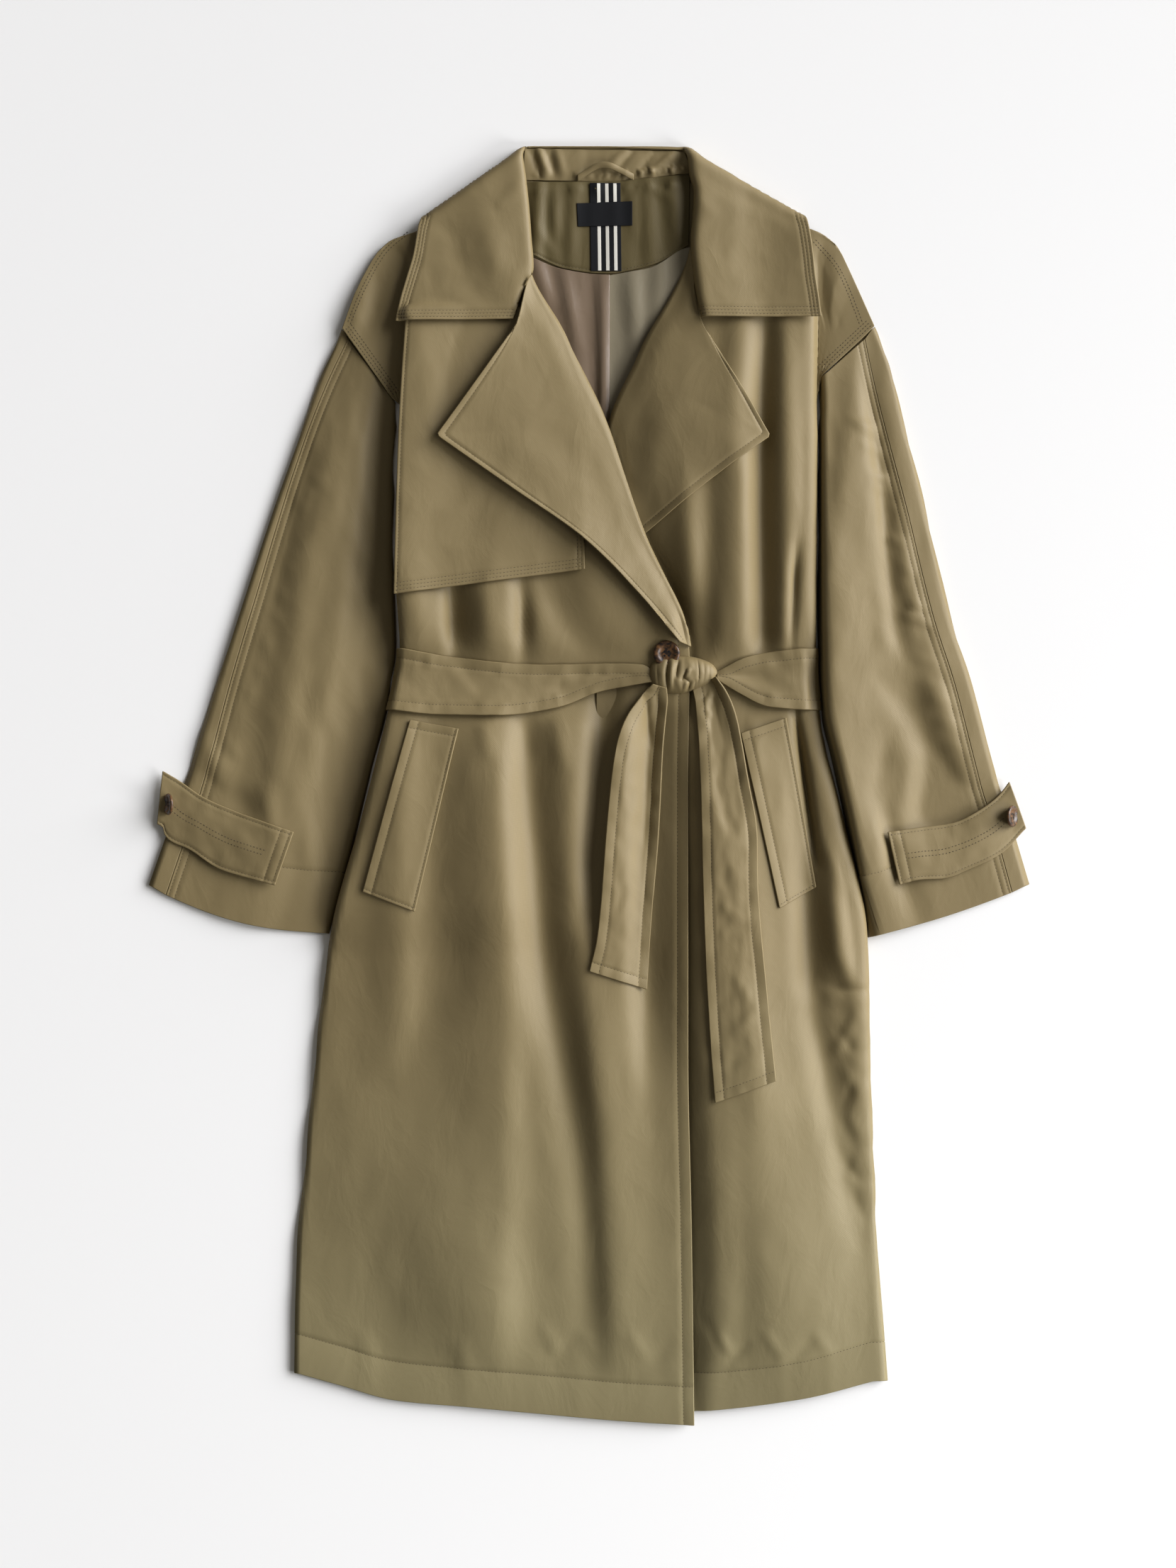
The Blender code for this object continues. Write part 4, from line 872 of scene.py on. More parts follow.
SLEEVE_CREASES = (
    *pucker_rows(outline((262, 340), (282, 266), (309, 158), (346, 28)), 30, (20, 4), 0.55, 2.2,
                 3.4, 17),
    *pucker_rows(outline((-250, 300), (-300, 130), (-345, 6)), 16, (4, 14), 0.5, 0.7, 4.5, 18),
    *rows_of(
        Crease, (292, -34, 390, 6, -6.0, 14), (-388, 12, -292, -26, -3.4, 12),
        (-360, 60, -330, -20, 1.4, 8), (-300, 10, -290, -40, 1.6, 7),
        (-262, -10, -250, -120, 1.8, 9), (-280, -90, -272, -130, 1.4, 7),
        (262, 20, 272, -110, 2.4, 9), (280, 60, 262, -20, -2.0, 8), (300, 40, 286, -30, 2.2, 8),
        (330, 30, 300, -30, -1.8, 8), (268, 150, 300, 90, 2.0, 8), (262, 110, 296, 60, -1.8, 8),
        (280, 210, 304, 160, 1.8, 7), (290, 180, 318, 130, -1.6, 6), (286, 260, 276, 200, 1.4, 6),
        (320, 90, 340, 40, 1.6, 6)))


# ---------------------------------------------------------------- lapels, collar, flap

def lapel_lip(rolled, inward, start, side, front):
    """Columns of a lapel from inside its front's edge up round the roll line."""
    under = heights_under(rolled + inward * 6 + np.array([side * 1.5, 0]), front)
    lip = []
    for shift, rise in LAPEL_LIP:
        height = under + (rise * (start - under) / LAPEL_LIP_TOP if rise > 0 else rise)
        lip.append(np.column_stack([rolled + inward * shift, height]))
    return np.stack(lip, 1)


def lapel_grid(side, edge, high, low, outer_top, outer_low, carriers, folds, edge_lift, seed):
    """A lapel that rolls round the edge of its front, the first carrier, and lies back on it."""
    rows = steps(LAPEL_ROWS)
    roll_y = high + (low - high) * rows ** 0.75
    rolled = np.stack([line_at(edge, roll_y), roll_y], -1)
    above = rows <= CORNER_SHARE
    outer = np.empty_like(rolled)
    outer[above] = along(outer_top, rows[above] / CORNER_SHARE)
    outer[~above] = along(outer_low, (rows[~above] - CORNER_SHARE) / (1 - CORNER_SHARE))
    width = np.hypot(*(outer - rolled).T)[:, None]
    inward = (outer - rolled) / width
    inset = np.minimum(1.0, width / 16)
    shares = steps(LAPEL_COLUMNS)[None] ** 1.15
    reach = LIP_REACH * inset + (width - LIP_REACH * inset) * shares
    flat = rolled[:, None] + inward[:, None] * reach[..., None]
    own = relief(flat, waves=((0.5, 30, 30, seed),), rumples=((0.35, 24, 36, seed + 2),),
                 folds=folds) * ease(reach / 14)
    own = own + LOFT * ease(reach / 20) * np.exp(-reach / 60) * inset
    own = own + edge_lift * shares ** 1.3 * np.minimum(1, width / 50)
    face = laid(flat, carriers, passes=90, extra=own)
    lip = lapel_lip(rolled, inward * inset, face[:, 0, 2], side, carriers[:1])
    return np.concatenate([lip, face], 1)[:, ::side]


def collar_grid():
    """The collar: a leaf on each shoulder, joined by its part that lies folded behind the neck."""
    across = np.array(COLLAR_ACROSS)
    coarse = []
    for index, station in enumerate(COLLAR):
        x = station.roll_x + (station.outer_x - station.roll_x) * across
        y = station.roll_y + (station.outer_y - station.roll_y) * across
        z = np.full_like(across, station.level)
        if COLLAR_TURN_RIGHT < index < COLLAR_TURN_LEFT:
            z[:2] = COLLAR_FOLD_Z
            y[1:3] = COLLAR_FOLD_Y
        else:
            z = z + np.array(COLLAR_RISE[-1 if index <= COLLAR_TURN_RIGHT else 1])
        coarse.append(np.column_stack([x, y, z]))
    return refined(np.array(coarse), (len(COLLAR) - 1) * 9, (len(across) - 1) * 6)


def collar_piece():
    grid = collar_grid()
    stations = np.linspace(0, len(COLLAR) - 1, len(grid))
    below = FRONTS + ["storm_flap_cloth", "lapel_right_cloth", "lapel_left_cloth"]
    for leaf in (stations <= COLLAR_TURN_RIGHT - 1, stations >= COLLAR_TURN_LEFT + 1):
        part = grid[leaf]
        base, height = draped(part, below, passes=18)
        own = relief(part, waves=((0.5, 34, 34, 31),), rumples=((0.4, 22, 26, 33),),
                     folds=COLLAR_FOLDS, creases=COLLAR_CREASES)
        toward_end = steps(len(part) - 1)[::1 if leaf[-1] else -1][:, None]
        own = own + 2.0 * steps(part.shape[1] - 1)[None] ** 6 + 3.4 * toward_end ** 8
        part[..., 2] = np.maximum(base, np.maximum(part[..., 2], height + 0.3) + own)
        grid[leaf] = part
    cloth("collar_fall_cloth", grid, FACED, GABARDINE, "collar_fall", right=COLLAR_STITCHES,
          top=COLLAR_STITCHES, bottom=COLLAR_STITCHES)


COLLAR_FOLDS = fold_rows(
    right_leaf_trough=(-1.2, 12, 14, (-128, 524, 0.3), (-122, 490, 0.6), (-100, 452, 0.5),
        (-80, 434, 0.2)),
    right_leaf_ridge=(1.8, 14, 16, (-96, 530, 0.4), (-86, 490, 1), (-72, 455, 0.4)),
    left_leaf_trough=(-1.2, 24, 16, (166, 530, 0.4), (168, 490, 1), (166, 445, 0.8)))
COLLAR_CREASES = rows_of(
    Crease,
    (-60, 556, -84, 530, 1.2, 6), (96, 548, 118, 520, 1.0, 6), (-150, 520, -110, 500, -0.8, 8))
FLAP_FOLDS = fold_rows(
    flap_ridge=(1.2, 16, 24, (-150, 425, 1), (-162, 320, 0.6), (-172, 202, 1.2)),
    flap_dip=(-1.6, 26, 26, (-104, 425, 1), (-106, 340, 1), (-110, 250, 0.2)))
LAPEL_FOLDS_RIGHT = fold_rows(
    lapel_swell=(1.5, 30, 30, (-70, 400, 0.4), (-66, 330, 1), (-20, 260, 1), (50, 180, 0.4)))
LAPEL_FOLDS_LEFT = fold_rows(
    lapel_swell=(3.2, 30, 46, (64, 420, 0.3), (78, 345, 0.9), (64, 290, 1), (40, 240, 0.3)))


# ---------------------------------------------------------------- belt

def belt_side(side, side_line, count):
    """Columns of the belt round one side of the body, from the front to the surface below."""
    y = BELT_ROWS[0] + (BELT_ROWS[-1] - BELT_ROWS[0]) * steps(count)
    x = line_at(side_line, y)
    top = heights_under(np.column_stack([x - side * SIDE_ROLL[side], y]), FRONTS) + 0.6
    line = np.column_stack([x + side * (CLOTH + 2 * SEAM), y])
    return rounded(line, np.array([-side, 0]), top, np.full(len(y), DOUBLE + SURFACE_GAP),
                   SIDE_ROLL[side] + CLOTH + 2 * SEAM, (*SLEEVE_TURNS, 178))


def belt_stretch(top, bottom, count, across, seed):
    """A stretch of the belt across the front, with the small creases that tying leaves."""
    flat = between(top, bottom, count, across).swapaxes(0, 1)
    share = steps(across)[:, None]
    own = relief(flat, waves=((0.5, 24, 12, seed),), rumples=((0.45, 16, 14, seed + 1),),
                 creases=BELT_CREASES)
    own = own + 1.0 + 1.2 * np.sin(np.pi * share) ** 0.6 + 3.4 * share ** 1.5
    return laid(flat, FRONTS, passes=40, extra=own)


def belt_grid():
    """The belt once round the body, from the knot round the left side to the knot again."""
    across = 16
    left_side, right_side = belt_side(1, SIDE_LEFT, across), belt_side(-1, SIDE_RIGHT, across)

    def fold_point(side, line, y):
        return Point(float(line_at(line, y)) - side * SIDE_ROLL[side], y)

    high, low = BELT_ROWS
    left = belt_stretch(
        outline((119, 104), (146, 118), (166, 122), fold_point(1, SIDE_LEFT, high)),
        outline((119, 98), (140, 85), (166, 73), fold_point(1, SIDE_LEFT, low)), 24, across, 41)
    right = belt_stretch(
        outline(fold_point(-1, SIDE_RIGHT, high), (-125, 118), (-43, 111), (30, 112), (50, 111),
                (60, 105)),
        outline(fold_point(-1, SIDE_RIGHT, low), (-141, 66), (-83, 65), (-29, 72), (11, 87),
                (60, 96)), 66, across, 43)
    share = steps(40)[1:-1, None, None]
    behind = left_side[:, -1][None] * (1 - share) + right_side[:, -1][None] * share
    return np.concatenate([left, left_side, np.moveaxis(behind, 0, 1), right_side[:, ::-1], right],
                          1)


BELT_CREASES = (
    *pucker_rows(outline((-160, 116), (-43, 104), (46, 106)), 26, (5, 7), 0.2, 0.7, 2.6, 5),
    *pucker_rows(outline((-170, 76), (-83, 72), (-20, 82), (40, 96)), 26, (7, 5), 0.2, 0.7, 2.6, 6),
    *pucker_rows(outline((150, 112), (206, 116)), 9, (5, 7), 0.3, 0.7, 2.6, 7),
    *pucker_rows(outline((150, 84), (206, 78)), 9, (7, 5), 0.3, 0.7, 2.6, 8),
    *rows_of(
        Crease, (-20, 104, 58, 101, -1.6, 5), (-60, 96, 40, 100, 1.2, 5),
        (-130, 110, -100, 78, 1.0, 5), (122, 101, 176, 116, 1.4, 4), (122, 100, 172, 84, 1.4, 4),
        (124, 101, 186, 100, -2.2, 6), (160, 104, 196, 92, 1.0, 4)))


# ---------------------------------------------------------------- buttons

BUTTON_PROFILE = ((0.0, 1.3), (0.34, 1.3), (0.52, 1.5), (0.62, 2.5), (0.78, 3.1), (0.90, 2.9),
                  (0.98, 2.2), (1.0, 1.4), (0.96, 0.4), (0.88, 0.0), (0.0, 0.0))
BUTTON_TURNS = 40
HOLE_REACH = 0.221       # of a hole's centre from the middle, as a share of the radius
HOLE_RADIUS = 1.0
HOLE_HEIGHT = 1.32


def ring(count, radius, turned=0.0):
    """Evenly spaced points of a circle round the middle, as x and y."""
    turns = np.linspace(0, 2 * math.pi, count, endpoint=False) + turned
    return [(radius * math.cos(turn), radius * math.sin(turn)) for turn in turns]


def disc_with_holes(radius):
    """A button's turned disc, with a dark filled circle for each of its four holes, painted shade where
    the holes go through.
    """
    disc = bmesh.new()
    rings = [[disc.verts.new((x, y, height)) for x, y in ring(BUTTON_TURNS if reach else 1,
                                                              radius * reach)]
             for reach, height in BUTTON_PROFILE]
    for inner, outer in zip(rings, rings[1:]):
        for k in range(BUTTON_TURNS):
            after = (k + 1) % BUTTON_TURNS
            corners = [inner[k % len(inner)], outer[k % len(outer)], outer[after % len(outer)],
                       inner[after % len(inner)]]
            disc.faces.new(list(dict.fromkeys(corners)))
    bmesh.ops.recalc_face_normals(disc, faces=disc.faces)
    for face in disc.faces:
        face.smooth = True
    for x, y in ring(4, radius * HOLE_REACH, math.radians(45)):
        hole = bmesh.ops.create_circle(disc, cap_ends=True, segments=12, radius=HOLE_RADIUS,
                                       matrix=Matrix.Translation((x, y, HOLE_HEIGHT)))
        for face in {f for vert in hole["verts"] for f in vert.link_faces}:
            face.material_index = 1
    return disc


def button(node, centre, radius, lean, carrier):
    """A round horn button with a raised rim and four holes, on top of its carrier.

    lean turns it about +X and +Y, in degrees.
    """
    disc = disc_with_holes(radius)
    base = heights_under([(centre.x + x, centre.y + y) for x, y in ring(12, radius * 0.6)],
                         [carrier])
    about_x, about_y = (math.radians(angle) for angle in lean)
    rise = radius * 0.4 * math.sin(max(abs(about_x), abs(about_y)))
    move = Matrix.Translation((centre.x, centre.y, float(np.mean(base)) + GAP + rise))
    turned = Matrix.Rotation(about_x, 4, "X") @ Matrix.Rotation(about_y, 4, "Y")
    bmesh.ops.transform(disc, matrix=Matrix.Scale(MM, 4) @ move @ turned, verts=disc.verts)
    mesh = bpy.data.meshes.new(f"{node}_horn")
    disc.to_mesh(mesh)
    disc.free()
    place(mesh, HORN, node)
    # The holes' dark circles take the black ribbon's material, as painted shade.
    mesh.materials.append(INK)


# ---------------------------------------------------------------- stitches

def stitches(name, rows, material):
    """All the visible stitches as one mesh of small pointed dashes."""
    points, faces = [], []
    for line, normals in rows:
        chord = np.linalg.norm(np.diff(line, axis=0), axis=-1)
        reach = np.concatenate(([0.0], np.cumsum(chord)))
        for start in np.arange(STITCH_START, reach[-1] - STITCH - 0.5, STITCH_PITCH):
            at = np.array([start, start + STITCH / 2, start + STITCH])
            tip, middle, end = np.stack([np.interp(at, reach, line[:, k]) for k in range(3)], -1)
            up = np.array([np.interp(at[1], reach, normals[:, k]) for k in range(3)])
            side = np.cross(end - tip, up)
            side *= STITCH_WIDTH / max(np.linalg.norm(side), TINY)
            first = len(points)
            points += [tip, end, middle + side, middle + up * STITCH_RISE, middle - side,
                       middle - up * STITCH_SUNK]
            for a, b in ((2, 3), (3, 4), (4, 5), (5, 2)):
                faces += [(first, first + a, first + b), (first + 1, first + b, first + a)]
    place(smooth_mesh(name, np.array(points), faces), material)


def seam_rows(path, offsets, carriers, spacing=2.0):
    """Rows of stitches beside a seam's path, on whatever carries it there."""
    length = sum(math.dist(a, b) for a, b in zip(path, path[1:]))
    line = along(path, steps(max(2, int(length / spacing))))
    run = np.gradient(line, axis=0)
    run /= np.linalg.norm(run, axis=-1, keepdims=True)
    for offset in offsets:
        shifted = line + np.column_stack([-run[:, 1], run[:, 0]]) * offset
        height = heights_under(shifted, carriers)
        dashes_on(np.column_stack([shifted, height]), np.tile((0.0, 0.0, 1.0), (len(shifted), 1)))


# ---------------------------------------------------------------- materials

def material_of(name):
    """A new material, with its node tree and its shader."""
    material = bpy.data.materials.new(name)
    material.use_nodes = True
    tree = material.node_tree
    return material, tree, tree.nodes["Principled BSDF"]


def feed(tree, socket, value):
    """Links an output to an input, or sets the input to a number or colour."""
    if isinstance(value, bpy.types.NodeSocket):
        tree.links.new(value, socket)
    else:
        socket.default_value = value


def linked(tree, kind, **inputs):
    """A new node with its inputs fed, each by its name."""
    node = tree.nodes.new(kind)
    for name, value in inputs.items():
        feed(tree, node.inputs[name.replace("_", " ")], value)
    return node


def sums(tree, operation, *values):
    """The result of a Math node."""
    node = tree.nodes.new("ShaderNodeMath")
    node.operation = operation
    for socket, value in zip(node.inputs, values):
        feed(tree, socket, value)
    return node.outputs[0]


def blended(tree, factor, first, second, blend_type="MIX"):
    """The result of mixing two colours."""
    mix = tree.nodes.new("ShaderNodeMix")
    mix.data_type = "RGBA"
    mix.blend_type = blend_type
    for name, value in (("Factor", factor), ("A", first), ("B", second)):
        feed(tree, mix.inputs[name], value)
    return mix.outputs["Result"]


def painted_light_toward_hem(tree, place_at, colour):
    """The colour as it is at the waist, with painted light that makes it a little lighter and less
    yellow toward the hem.
    """
    parts = tree.nodes.new("ShaderNodeSeparateXYZ")
    feed(tree, parts.inputs[0], place_at)
    share = linked(tree, "ShaderNodeMapRange", From_Min=-0.15, From_Max=-0.56,
                   Value=parts.outputs["Y"])
    return blended(tree, share.outputs["Result"], colour, (1.05, 1.16, 1.26, 1), "MULTIPLY")


def woven(name, light, dark, roughness, weave, bump, specular=0.5, rumple=0.0):
    """Woven cloth: slow changes of colour, painted light that lightens it toward the hem, a fine
    diagonal weave and faint rumples.

    weave is the weave's scale, and bump and rumple are the strengths of the two reliefs.
    """
    material, tree, shader = material_of(name)
    place_at = tree.nodes.new("ShaderNodeTexCoord").outputs["Object"]
    slow = linked(tree, "ShaderNodeTexNoise", Scale=9.0, Detail=3.0, Roughness=0.5, Vector=place_at)
    fine = linked(tree, "ShaderNodeTexNoise", Scale=900.0, Detail=2.0, Roughness=0.6,
                  Vector=place_at)
    twill = linked(tree, "ShaderNodeTexWave", Scale=weave, Distortion=1.5, Detail=1.0,
                   Vector=place_at)
    twill.bands_direction = "DIAGONAL"
    slow, fine, twill = (node.outputs["Fac"] for node in (slow, fine, twill))
    share = sums(tree, "MULTIPLY_ADD", fine, 0.25, sums(tree, "MULTIPLY", slow, 0.75))
    mixed = blended(tree, share, (*dark, 1), (*light, 1))
    threads = linked(tree, "ShaderNodeBump", Strength=bump, Distance=0.0004,
                     Height=sums(tree, "ADD", twill, fine))
    stretched = linked(tree, "ShaderNodeMapping", Scale=(1.0, 0.55, 1.0), Vector=place_at)
    broad = linked(tree, "ShaderNodeTexNoise", Scale=30.0, Detail=4.0, Roughness=0.55,
                   Distortion=0.5, Vector=stretched.outputs[0])
    ridged = sums(tree, "ABSOLUTE", sums(tree, "SUBTRACT", broad.outputs["Fac"], 0.5))
    rumples = linked(tree, "ShaderNodeBump", Strength=rumple, Distance=-0.003, Height=ridged,
                     Normal=threads.outputs["Normal"])
    for socket, value in (("Base Color", painted_light_toward_hem(tree, place_at, mixed)),
                          ("Normal", rumples.outputs["Normal"]), ("Roughness", roughness),
                          ("Specular IOR Level", specular)):
        feed(tree, shader.inputs[socket], value)
    return material


def horn(name):
    """Polished mottled horn."""
    material, tree, shader = material_of(name)
    place_at = tree.nodes.new("ShaderNodeTexCoord").outputs["Object"]
    mottle = linked(tree, "ShaderNodeTexNoise", Scale=170.0, Detail=4.0, Distortion=1.2,
                    Vector=place_at)
    ramp = linked(tree, "ShaderNodeValToRGB", Fac=mottle.outputs["Fac"])
    dark, light = ramp.color_ramp.elements
    dark.position, dark.color = 0.38, (0.011, 0.006, 0.004, 1)
    light.position, light.color = 0.72, (0.19, 0.088, 0.030, 1)
    feed(tree, shader.inputs["Base Color"], ramp.outputs["Color"])
    shader.inputs["Roughness"].default_value = 0.36
    return material


def plain(name, colour, roughness):
    material, _, shader = material_of(name)
    shader.inputs["Base Color"].default_value = (*colour, 1)
    shader.inputs["Roughness"].default_value = roughness
    return material


# ---------------------------------------------------------------- view and light

def hold(name, data, location=(0, 0, 0)):
    """Puts a camera, light or mesh into the scene."""
    holder = bpy.data.objects.new(name, data)
    holder.location = location
    bpy.context.scene.collection.objects.link(holder)
    return holder


def look_from_above():
    camera = bpy.data.cameras.new("view")
    camera.sensor_fit = "VERTICAL"
    camera.sensor_height = 36.0
    camera.lens = 74.5
    bpy.context.scene.camera = hold("view", camera, (0.0003, 0.0016, 3.0))


def window(name, energy, spread, elevation):
    """A broad light from far away at the right, a little toward the collar; angles in degrees."""
    sun = bpy.data.lights.new(name, "SUN")
    sun.energy = energy
    sun.angle = math.radians(spread)
    sun.color = DAYLIGHT
    turn, rise = math.radians(LIGHT_TURN), math.radians(elevation)
    toward = Vector((math.cos(turn), math.sin(turn), math.tan(rise)))
    hold(name, sun).rotation_euler = toward.to_track_quat("Z", "Y").to_euler()


def lamp_beside_the_hem():
    """A soft lamp to the lower right, so the far side and the collar get less of its light."""
    lamp = bpy.data.lights.new("hem_lamp", "POINT")
    lamp.shadow_soft_size = 0.7
    lamp.energy = 270
    hold("hem_lamp", lamp, (2.9, -1.25, 1.5)).visible_camera = False


def light_the_scene():
    window("high_window", 4.05, 46, 26)
    lamp_beside_the_hem()
    window("low_window", 1.95, 34, 14)
    world = bpy.data.worlds.new("room")
    world.use_nodes = True
    background = world.node_tree.nodes["Background"]
    background.inputs["Color"].default_value = ROOM_COLOUR
    background.inputs["Strength"].default_value = 0.155
    bpy.context.scene.world = world
    bpy.context.scene.view_settings.view_transform = "Standard"


def lay_the_floor():
    corners = ((-1, -1), (1, -1), (1, 1), (-1, 1))
    mesh = bpy.data.meshes.new("surface")
    mesh.from_pydata([(x * FLOOR_REACH, y * FLOOR_REACH, -0.0005) for x, y in corners], [],
                     [(0, 1, 2, 3)])
    floor = hold("surface", mesh)
    floor.data.materials.append(plain("pale_paper", (0.845, 0.845, 0.845), 0.9))


# ---------------------------------------------------------------- assembly

GABARDINE = woven("gabardine", (0.224, 0.171, 0.081), (0.170, 0.128, 0.057), 0.58, 420.0, 0.07,
                  specular=0.36, rumple=0.28)
# The gabardine again, drawn darker: painted shade for the facing, which lies deep inside the neck.
GABARDINE_PAINTED_SHADE = woven("gabardine_painted_shade", (0.112, 0.086, 0.034), (0.082, 0.062, 0.023), 0.6, 420.0,
               0.14, specular=0.3, rumple=0.4)
# One lining satin in two tones, one for each half of the back: its own colour with painted sheen, which
# its nap turns differently on each side of the seam.
ROSE_PAINTED_SHEEN = woven("satin_rose_painted_sheen", (0.178, 0.128, 0.086), (0.132, 0.094, 0.062), 0.34, 700.0, 0.05,
             rumple=0.25)
GREY_PAINTED_SHEEN = woven("satin_grey_painted_sheen", (0.236, 0.204, 0.139), (0.176, 0.152, 0.102), 0.34, 700.0, 0.05,
             rumple=0.25)
INK = woven("black_ribbon", (0.0055, 0.006, 0.008), (0.0035, 0.004, 0.005), 0.75, 900.0, 0.1,
            specular=0.2)
CREAM = plain("cream_thread", (0.62, 0.60, 0.54), 0.6)
# Khaki thread drawn much darker than the cloth: its own colour with painted shade for the small shadows
# and needle holes of the stitches.
THREAD_PAINTED_SHADE = plain("khaki_thread_painted_shade", (0.050, 0.036, 0.017), 0.8)
HORN = horn("horn")

look_from_above()
light_the_scene()
lay_the_floor()


def body_pieces():
    right, right_ends = front_grid(-1, SIDE_RIGHT, EDGE_RIGHT, SHOULDER_RIGHT, HEM_RIGHT,
                                   SHOULDER_TIP_RIGHT, ARMHOLE_RIGHT, LEVELS_RIGHT, FOLDS_RIGHT, 1)
    left, left_ends = front_grid(1, SIDE_LEFT, EDGE_LEFT, SHOULDER_LEFT, HEM_LEFT,
                                 SHOULDER_TIP_LEFT, ARMHOLE_LEFT, LEVELS_LEFT, FOLDS_LEFT, 3)
    cloth("front_right_cloth", right, CLOTH, GABARDINE, "front_right", right=(9.5,),
          bottom=HEM_STITCHES, step=BROAD)
    cloth("front_left_cloth", left, CLOTH, GABARDINE, "front_left", bottom=HEM_STITCHES)
    cloth("back_cloth", back_grid(right_ends, left_ends), CLOTH, GABARDINE, "back_panel",
          step=COARSE)


def sleeve_pieces():
    for name, lines, seed in (("right", SLEEVE_RIGHT, 11), ("left", SLEEVE_LEFT, 13)):
        front_piece, back_piece = sleeve_grids(**lines, seed=seed)
        seam = {"left" if name == "right" else "right": (2.2, 8.0)}
        cloth(f"sleeve_{name}_front_cloth", front_piece, CLOTH, GABARDINE,
              f"sleeve_{name}_front", bottom=(58,), step=BROAD, **seam)
        cloth(f"sleeve_{name}_back_cloth", back_piece, CLOTH, GABARDINE, f"sleeve_{name}_back",
              bottom=(60,), step=BROAD)


def stand_piece():
    share = steps(12)
    stand = between(outline((-58, 588), (-60, 560)), outline((89, 585.5), (97, 566)), 12, 60)
    foot = curve((-52, 18, 73, 92), (559.5, 558.2, 563.5, 566), stand[-1, :, 0])
    stand[..., 1] += ease(share)[:, None] * (foot - stand[-1, :, 1])[None]
    height = curve((0, 0.33, 0.66, 1), (2.6, 3.9, 3.7, 2.5), share)[:, None]
    height = height + relief(stand, waves=((0.7, 9, 30, 51),), creases=STAND_CREASES)
    cloth("collar_stand_cloth", np.dstack([stand, np.maximum(height, 2.3)]), CLOTH, GABARDINE,
          "collar_stand", step=1.4)


def facing_piece():
    facing = between(outline((-56, 554), (-51, 490)), outline((94, 560), (93, 499)), 26, 50)
    top = curve((-56, 18, 73, 94), (557, 557.4, 562.5, 564), facing[0, :, 0])
    bottom = curve((-51, -19, 18, 60, 93), (490, 477, 473, 481, 499), facing[-1, :, 0])
    facing[..., 1] = top[None] + (bottom - top)[None] * steps(26)[:, None]
    own = 0.6 + relief(facing, waves=((0.9, 12, 60, 52),), creases=FACING_CREASES)
    # The facing is drawn in the darker gabardine, painted shade for the recess inside the neck.
    cloth("neck_facing_cloth", laid(facing, ["back_cloth"], extra=np.maximum(own, -0.1)), SATIN,
          GABARDINE_PAINTED_SHADE, "neck_facing", bottom=(2.4,))


def lining_piece(side, left_line, right_line, xs, ys, material, seed):
    """One half of the back's lining; xs and ys are a curve that its top edge follows."""
    grid = between(outline(*left_line), outline(*right_line), 44, 24)
    top = curve(xs, ys, grid[0, :, 0])
    grid[..., 1] += (top - grid[0, :, 1])[None] * (1 - steps(44)[:, None]) ** 2
    own = 0.8 + relief(grid, waves=((1.7, 18, 90, seed),), creases=LINING_CREASES)
    cloth(f"lining_{side}_satin", laid(grid, ["back_cloth"], extra=np.maximum(own, 0)), SATIN,
          material, f"lining_back_{side}")


def tape_and_label():
    tape = four_sided((2, 556), (30, 556), (31, 475), (3, 475), 26, 12)
    cloth("tape_ribbon", laid(tape, ["neck_facing_cloth"], gap=0.2, passes=4), RIBBON, INK,
          "stripe_tape")
    for stripe, x in zip(STRIPES, (8.5, 16.0, 23.5)):
        grid = four_sided((x, 555.6), (x + 3, 555.6), (x + 4, 475.4), (x + 1, 475.4), 26, 3)
        cloth(stripe, laid(grid, ["tape_ribbon"], gap=0.05, passes=2), 0.15, CREAM)
    label = four_sided((-10, 537), (41, 539), (41, 517), (-9, 516), 10, 20)
    on = ["neck_facing_cloth", "tape_ribbon", *STRIPES]
    cloth("label_ribbon", laid(label, on, gap=0.2, passes=12), RIBBON, INK, "label")


def hanging_loop():
    middle = along(LOOP_PATH, steps(24))
    half = np.array([0, 2.4])
    loop = np.stack([middle + half * share for share in (1, 0.5, 0, -0.5, -1)])
    bulge = np.array([0, 0.7, 1, 0.7, 0])[:, None] + 3.2 * np.sin(np.pi * steps(24))[None]
    cloth("hang_loop_cloth", laid(loop, ["collar_stand_cloth", "neck_facing_cloth"], gap=0.3,
                                  passes=6, extra=bulge), 1.0, GABARDINE, "hang_loop")


def neck_pieces():
    """What shows inside the neck."""
    stand_piece()
    facing_piece()
    middle = ((NECK_SEAM_X, 472), (NECK_SEAM_X, 320))
    # Each half of the lining takes its own tone of painted sheen.
    lining_piece("right", ((-62, 489), (-40, 420), (-6, 330)), middle,
                 (-62, -19, 18, 60), (491.4, 475.4, 471.4, 479.4), ROSE_PAINTED_SHEEN, 53)
    middle = [(x + SEAM, y) for x, y in middle]
    lining_piece("left", middle, ((104, 500), (62, 400), (36, 330)),
                 (18, 60, 93, 104), (470.5, 478.5, 496.5, 497), GREY_PAINTED_SHEEN, 54)
    tape_and_label()
    hanging_loop()


